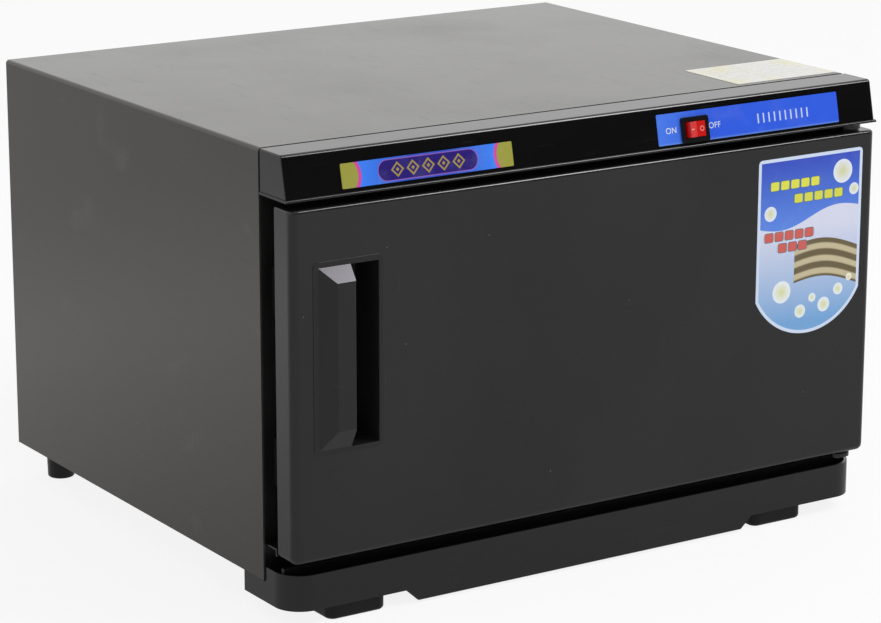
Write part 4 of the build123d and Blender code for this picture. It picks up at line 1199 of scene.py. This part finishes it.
@dataclass
class Fascia(Assembly):
    """The leaning moulding over the door with its two plates and the rocker switch."""

    words: tuple[tuple[str, float], ...] = (("ON", -0.0188), ("OFF", 0.0158))
    letter_height: float = 0.0038
    letter_share: float = 0.7
    letter_spacing: float = 1.05
    letter_depth: float = 0.00006
    letter_stand: float = 0.00002
    letter_rise: float = 0.0008
    mark_half: Span = (0.0016, 0.00045)
    mark_at: float = 0.0042
    ring_radii: Span = (0.0011, 0.0017)
    ring_steps: int = 36
    face_rise: Span = (0.0058, 0.0070)
    face_run: float = 0.0069
    white: Finish = FormedSheet("print_white", shade(226, 232, 244), 0.35, relief=INK_SKIN)
    pink: Finish = FormedSheet("print_pink", shade(240, 122, 112), 0.35, relief=INK_SKIN)

    def __post_init__(self) -> None:
        """Reads the switch's pivot and the lean of the face from its joint."""
        joint = next(j for j in self.frame["joints"] if j["name"] == "switch_rock")
        self.pivot = Vector(joint["pos_m"])
        self.up = -Vector(joint["axis"]).normalized()
        self.across = Vector((1.0, 0.0, 0.0))
        self.out = self.across.cross(self.up)
        self.tilt = math.radians(joint["range_deg"][1] / 2)

    def finishes(self) -> Dressing:
        """Polished black round bright printed film."""
        title = tuple(self.middle("title_plate"))
        control = tuple(self.middle("control_plate"))
        return {
            Moulding("fascia_gloss", shade(12, 12, 12), 0.1): ("top_fascia",),
            TitlePrint("title_film", shade(62, 136, 255), 0.22, middle=title): ("title_plate",),
            ControlPrint("control_film", shade(36, 88, 222), 0.3, middle=control): (
                "control_plate",
            ),
            Moulding("switch_black", shade(14, 14, 15), 0.25): ("switch_housing",),
            PlatedMetal("brass_blade", shade(196, 164, 92), 0.3): ("switch_blades",),
            Moulding("rocker_red", shade(196, 14, 8), 0.24, ior=1.4, worn=shade(226, 70, 60)): (
                "switch_rocker",
            ),
        }

    def on_face(self, origin: Vector, across: Vector, out: Vector) -> Matrix:
        """Turns a flat drawing so that it lies at a point and faces outward.

        Args:
            origin: Where the drawing's origin goes.
            across: Where its X points.
            out: Where its Z points.

        Returns:
            The matrix of that place.
        """
        turned_axes = Matrix((across, out.cross(across), out)).transposed().to_4x4()
        return Matrix.Translation(origin) @ turned_axes

    def lettering(self, text: str) -> bpy.types.Mesh:
        """Flat raised letters about their middle."""
        letters = bpy.data.curves.new(text, "FONT")
        letters.body = text
        letters.size = self.letter_height / self.letter_share
        letters.extrude = self.letter_depth / 2
        letters.space_character = self.letter_spacing
        letters.align_x = "CENTER"
        letters.align_y = "CENTER"
        return mesh_of_curve(letters)

    def dash(self, form: bmesh.types.BMesh) -> None:
        """A flat bar for the switch's ON side."""
        half_w, half_h = self.mark_half
        outline = [(-half_w, -half_h), (half_w, -half_h), (half_w, half_h), (-half_w, half_h)]
        prism(form, outline, -self.letter_depth, self.letter_depth)

    def ring(self, form: bmesh.types.BMesh) -> None:
        """A flat ring for the switch's OFF side."""
        inner, outer = self.ring_radii
        depth = self.letter_depth
        profile = [(inner, -depth), (outer, -depth), (outer, depth), (inner, depth)]
        turned(form, profile + profile[:1], self.ring_steps)

    def pieces(self) -> None:
        """ON and OFF stand beside the switch, and its two marks lie on the rocker's faces."""
        low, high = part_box("control_plate")
        middle, size = (low + high) / 2, high - low
        beside = self.middle("switch_rocker").x - middle.x
        above = (self.pivot - middle).dot(self.up) + self.letter_rise
        lift = (size.y - size.z * self.up.y / self.up.z) / 2
        face = middle + self.out * (lift / -self.out.y + self.letter_stand) + self.up * above
        for text, offset in self.words:
            mesh = self.lettering(text)
            spot = face + self.across * (beside + offset)
            mesh.transform(self.on_face(spot, self.across, self.out))
            name = f"lettering_{text.lower()}"
            self.add(name, mesh, self.white, Body.CABINET, "control_print")
        rest = Matrix.Rotation(self.tilt, 3, self.up)
        slope = math.atan2(self.face_rise[1] - self.face_rise[0], self.face_run)
        rise = self.face_rise[0] + self.mark_at * math.tan(slope)
        for name, side, make in (("rocker_dash", -1, self.dash), ("rocker_ring", 1, self.ring)):
            spot = self.pivot + rest @ (self.across * self.mark_at * side + self.out * rise)
            lean = rest @ Matrix.Rotation(slope * side, 3, -self.up)
            mesh = mesh_of(make)
            mesh.transform(self.on_face(spot, lean @ self.across, lean @ self.out))
            self.add(name, mesh, self.pink, Body.ROCKER, "rocker_red")


@dataclass
class Door(Assembly):
    """The insulated door with its handle, gasket and sticker."""

    scratching: float = 0.008
    # Painted reflection colour: the grip's reflections are tinted lilac to stand in for the lilac
    # light they catch.
    tint: Colour = (0.96, 0.94, 1.0)

    def finishes(self) -> Dressing:
        """Smooth black paint outside and a pale formed sheet inside."""
        smooth = {"relief": SMOOTH_PEEL, "scratching": self.scratching}
        sticker = tuple(self.middle("door_sticker"))
        return {
            StovedPaint("door_paint", shade(24, 24, 24), 0.12, **smooth): ("door_outer_panel",),
            FormedSheet("inner_sheet", shade(196, 198, 194), 0.32): ("door_inner_panel",),
            Foam("rigid_foam", shade(222, 206, 150), 0.9): ("door_foam",),
            Rubber("gasket_rubber", shade(30, 30, 31), 0.5): ("door_gasket",),
            # The grip takes the lilac tint on its reflections, which is a painted reflection
            # colour.
            Moulding("handle_gloss", shade(34, 34, 33), 0.16, ior=1.42, gloss_tint=self.tint): (
                "door_handle",
            ),
            StickerPrint("sticker_film", shade(90, 150, 220), 0.2, middle=sticker): (
                "door_sticker",
            ),
            PlatedMetal("strike_steel", shade(176, 176, 178), 0.32): (
                "catch_plates",
                "sensor_magnet",
            ),
        }


@dataclass
class HingesAndCatch(Assembly):
    """The hinge brackets and pins, the bushes in the door, the catch and the door sensor."""

    def finishes(self) -> Dressing:
        """Enamelled brackets, black nylon bushes and plain black housings."""
        return {
            StovedPaint("enamel", shade(22, 22, 22), 0.2): ("upper_bracket", "lower_bracket"),
            ZINC_PLATING: ("hinge_pins",),
            Moulding("black_nylon", shade(20, 20, 20), 0.4): ("hinge_bushes",),
            Moulding("plain_black", shade(20, 20, 21), 0.5): (
                "hinge_blocks",
                "catch_magnets",
                "door_sensor",
            ),
        }


@dataclass
class Underside(Assembly):
    """The drip trough and the rubber feet."""

    def finishes(self) -> Dressing:
        """Satin moulding on black rubber."""
        return {
            Moulding("trough_satin", shade(18, 18, 18), 0.22): ("drip_trough",),
            Rubber("foot_rubber", shade(10, 10, 10), 0.3, ior=1.38, worn=shade(40, 39, 37)): (
                "front_feet",
                "rear_feet",
            ),
        }


@dataclass
class Studio:
    """The white floor, the lamps and the camera."""

    floor_half: float = 6.0
    floor_grey: float = 0.9
    floor_wash: float = 0.86
    gloss_front: float = 0.47
    gloss_side: float = 0.85
    gloss_far: float = 0.62
    gloss_wash: float = 0.8
    side_floor: Span = (-0.1, 0.45)
    far_floor: Span = (0.55, 0.95)
    ambient: float = 0.68
    back_glow: float = 1.03
    back_sky: Span = (-0.2, 0.5)
    dark_front: float = 0.02
    front_sky: Span = (-0.3, -0.6)
    low_sky: Span = (0.66, 0.42)
    key_direction: Triple = (0.526, -0.495, 0.693)
    key_distance: float = 2.3
    key_size: float = 0.75
    key_power: float = 22.0
    key_colour: Colour = (0.98, 0.96, 1.0)
    target: Triple = (0.0, 0.0, 0.15)
    camera_place: Triple = (-1.148229, -1.778279, 0.68898)
    azimuth: float = 0.57547
    descent: float = 0.25879
    roll: float = 0.00117
    lens: float = 130.856
    sensor: float = 36.0

    def build(self) -> None:
        """Sets the view transform, then makes the world, the floor, the lamps and the camera."""
        bpy.context.scene.view_settings.view_transform = "Standard"
        self.world()
        self.floor()
        self.lamps()
        self.camera()

    def rays(self, graph: Graph) -> tuple[Value, Value]:
        """Whether the camera sees the surface, and whether a mirrored or refracted ray does."""
        path = graph.node("ShaderNodeLightPath").outputs
        seen = Value(graph, path["Is Camera Ray"])
        glossy = Value(graph, path["Is Glossy Ray"])
        return seen, glossy.most(Value(graph, path["Is Transmission Ray"]))

    def world(self) -> None:
        """White to the camera and plain soft light on the object.

        Reflections see a bright backdrop behind the object and a dark room in front of it.
        """
        world = bpy.data.worlds.new("studio")
        world.use_nodes = True
        bpy.context.scene.world = world
        graph = Graph(world.node_tree)
        seen, mirrored = self.rays(graph)
        _, y, z = graph.split(graph.node("ShaderNodeTexCoord").outputs["Generated"])
        back = y.span(*self.back_sky)
        dark = y.span(*self.front_sky) * z.span(*self.low_sky)
        glow = 1.0 + back * (self.back_glow - 1.0) - dark * (1.0 - self.dark_front)
        strength = self.ambient + mirrored * (glow - self.ambient) + seen * (1.0 - self.ambient)
        light = graph.node("ShaderNodeBackground", inputs={"Color": WHITE, "Strength": strength})
        graph.node("ShaderNodeOutputWorld", inputs={"Surface": light.outputs[0]})

    def floor(self) -> None:
        """A wide pale floor that keeps the object's shadow and is white elsewhere."""
        grid = {"x_segments": 1, "y_segments": 1, "size": self.floor_half}
        item = placed("studio_floor", mesh_of(lambda form: bmesh.ops.create_grid(form, **grid)))
        made = bpy.data.materials.new("floor_paper")
        made.use_nodes = True
        graph = Graph(made.node_tree)
        seen, mirrored = self.rays(graph)
        _, y, _ = graph.split(graph.place())
        level = self.gloss_front + y.span(*self.side_floor) * (self.gloss_side - self.gloss_front)
        level = level - y.span(*self.far_floor) * (self.gloss_side - self.gloss_far)
        strength = seen + mirrored * level
        paper = graph.node("ShaderNodeBsdfDiffuse", inputs={"Color": (self.floor_grey,) * 3})
        wash = graph.node("ShaderNodeEmission", inputs={"Color": WHITE, "Strength": strength})
        share = seen * self.floor_wash + mirrored * self.gloss_wash
        mixed = {0: share, 1: paper.outputs[0], 2: wash.outputs[0]}
        both = graph.node("ShaderNodeMixShader", inputs=mixed)
        graph.node("ShaderNodeOutputMaterial", inputs={"Surface": both.outputs[0]})
        item.data.materials.append(made)

    def lamps(self) -> None:
        """One large soft lamp above the right front."""
        light = bpy.data.lights.new("key_softbox", "AREA")
        light.shape = "SQUARE"
        light.size = self.key_size
        light.energy = self.key_power
        light.color = self.key_colour
        item = placed("key_softbox", light)
        direction = Vector(self.key_direction).normalized()
        item.location = Vector(self.target) + direction * self.key_distance
        item.rotation_euler = direction.to_track_quat("Z", "Y").to_euler()
        item.visible_camera = False

    def camera(self) -> None:
        """The photograph's viewpoint."""
        lens = bpy.data.cameras.new("camera")
        lens.lens = self.lens
        lens.sensor_width = self.sensor
        item = placed("camera", lens)
        level = Vector((math.sin(self.azimuth), math.cos(self.azimuth), 0.0))
        forward = level * math.cos(self.descent) - Vector((0.0, 0.0, math.sin(self.descent)))
        aim = forward.to_track_quat("-Z", "Y").to_matrix() @ Matrix.Rotation(self.roll, 3, "Z")
        item.matrix_world = Matrix.Translation(self.camera_place) @ aim.to_4x4()
        bpy.context.scene.camera = item


def main() -> None:
    """Loads the model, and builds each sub-assembly and the studio."""
    for item in list(bpy.data.objects):
        bpy.data.objects.remove(item)
    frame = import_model()
    for kind in (Casing, Chamber, Works, Fascia, Door, HingesAndCatch, Underside, ScrewSet):
        kind(frame).build()
    Studio().build()


if __name__ == "__main__":
    logging.basicConfig(level=logging.INFO, format="%(message)s")
    main()
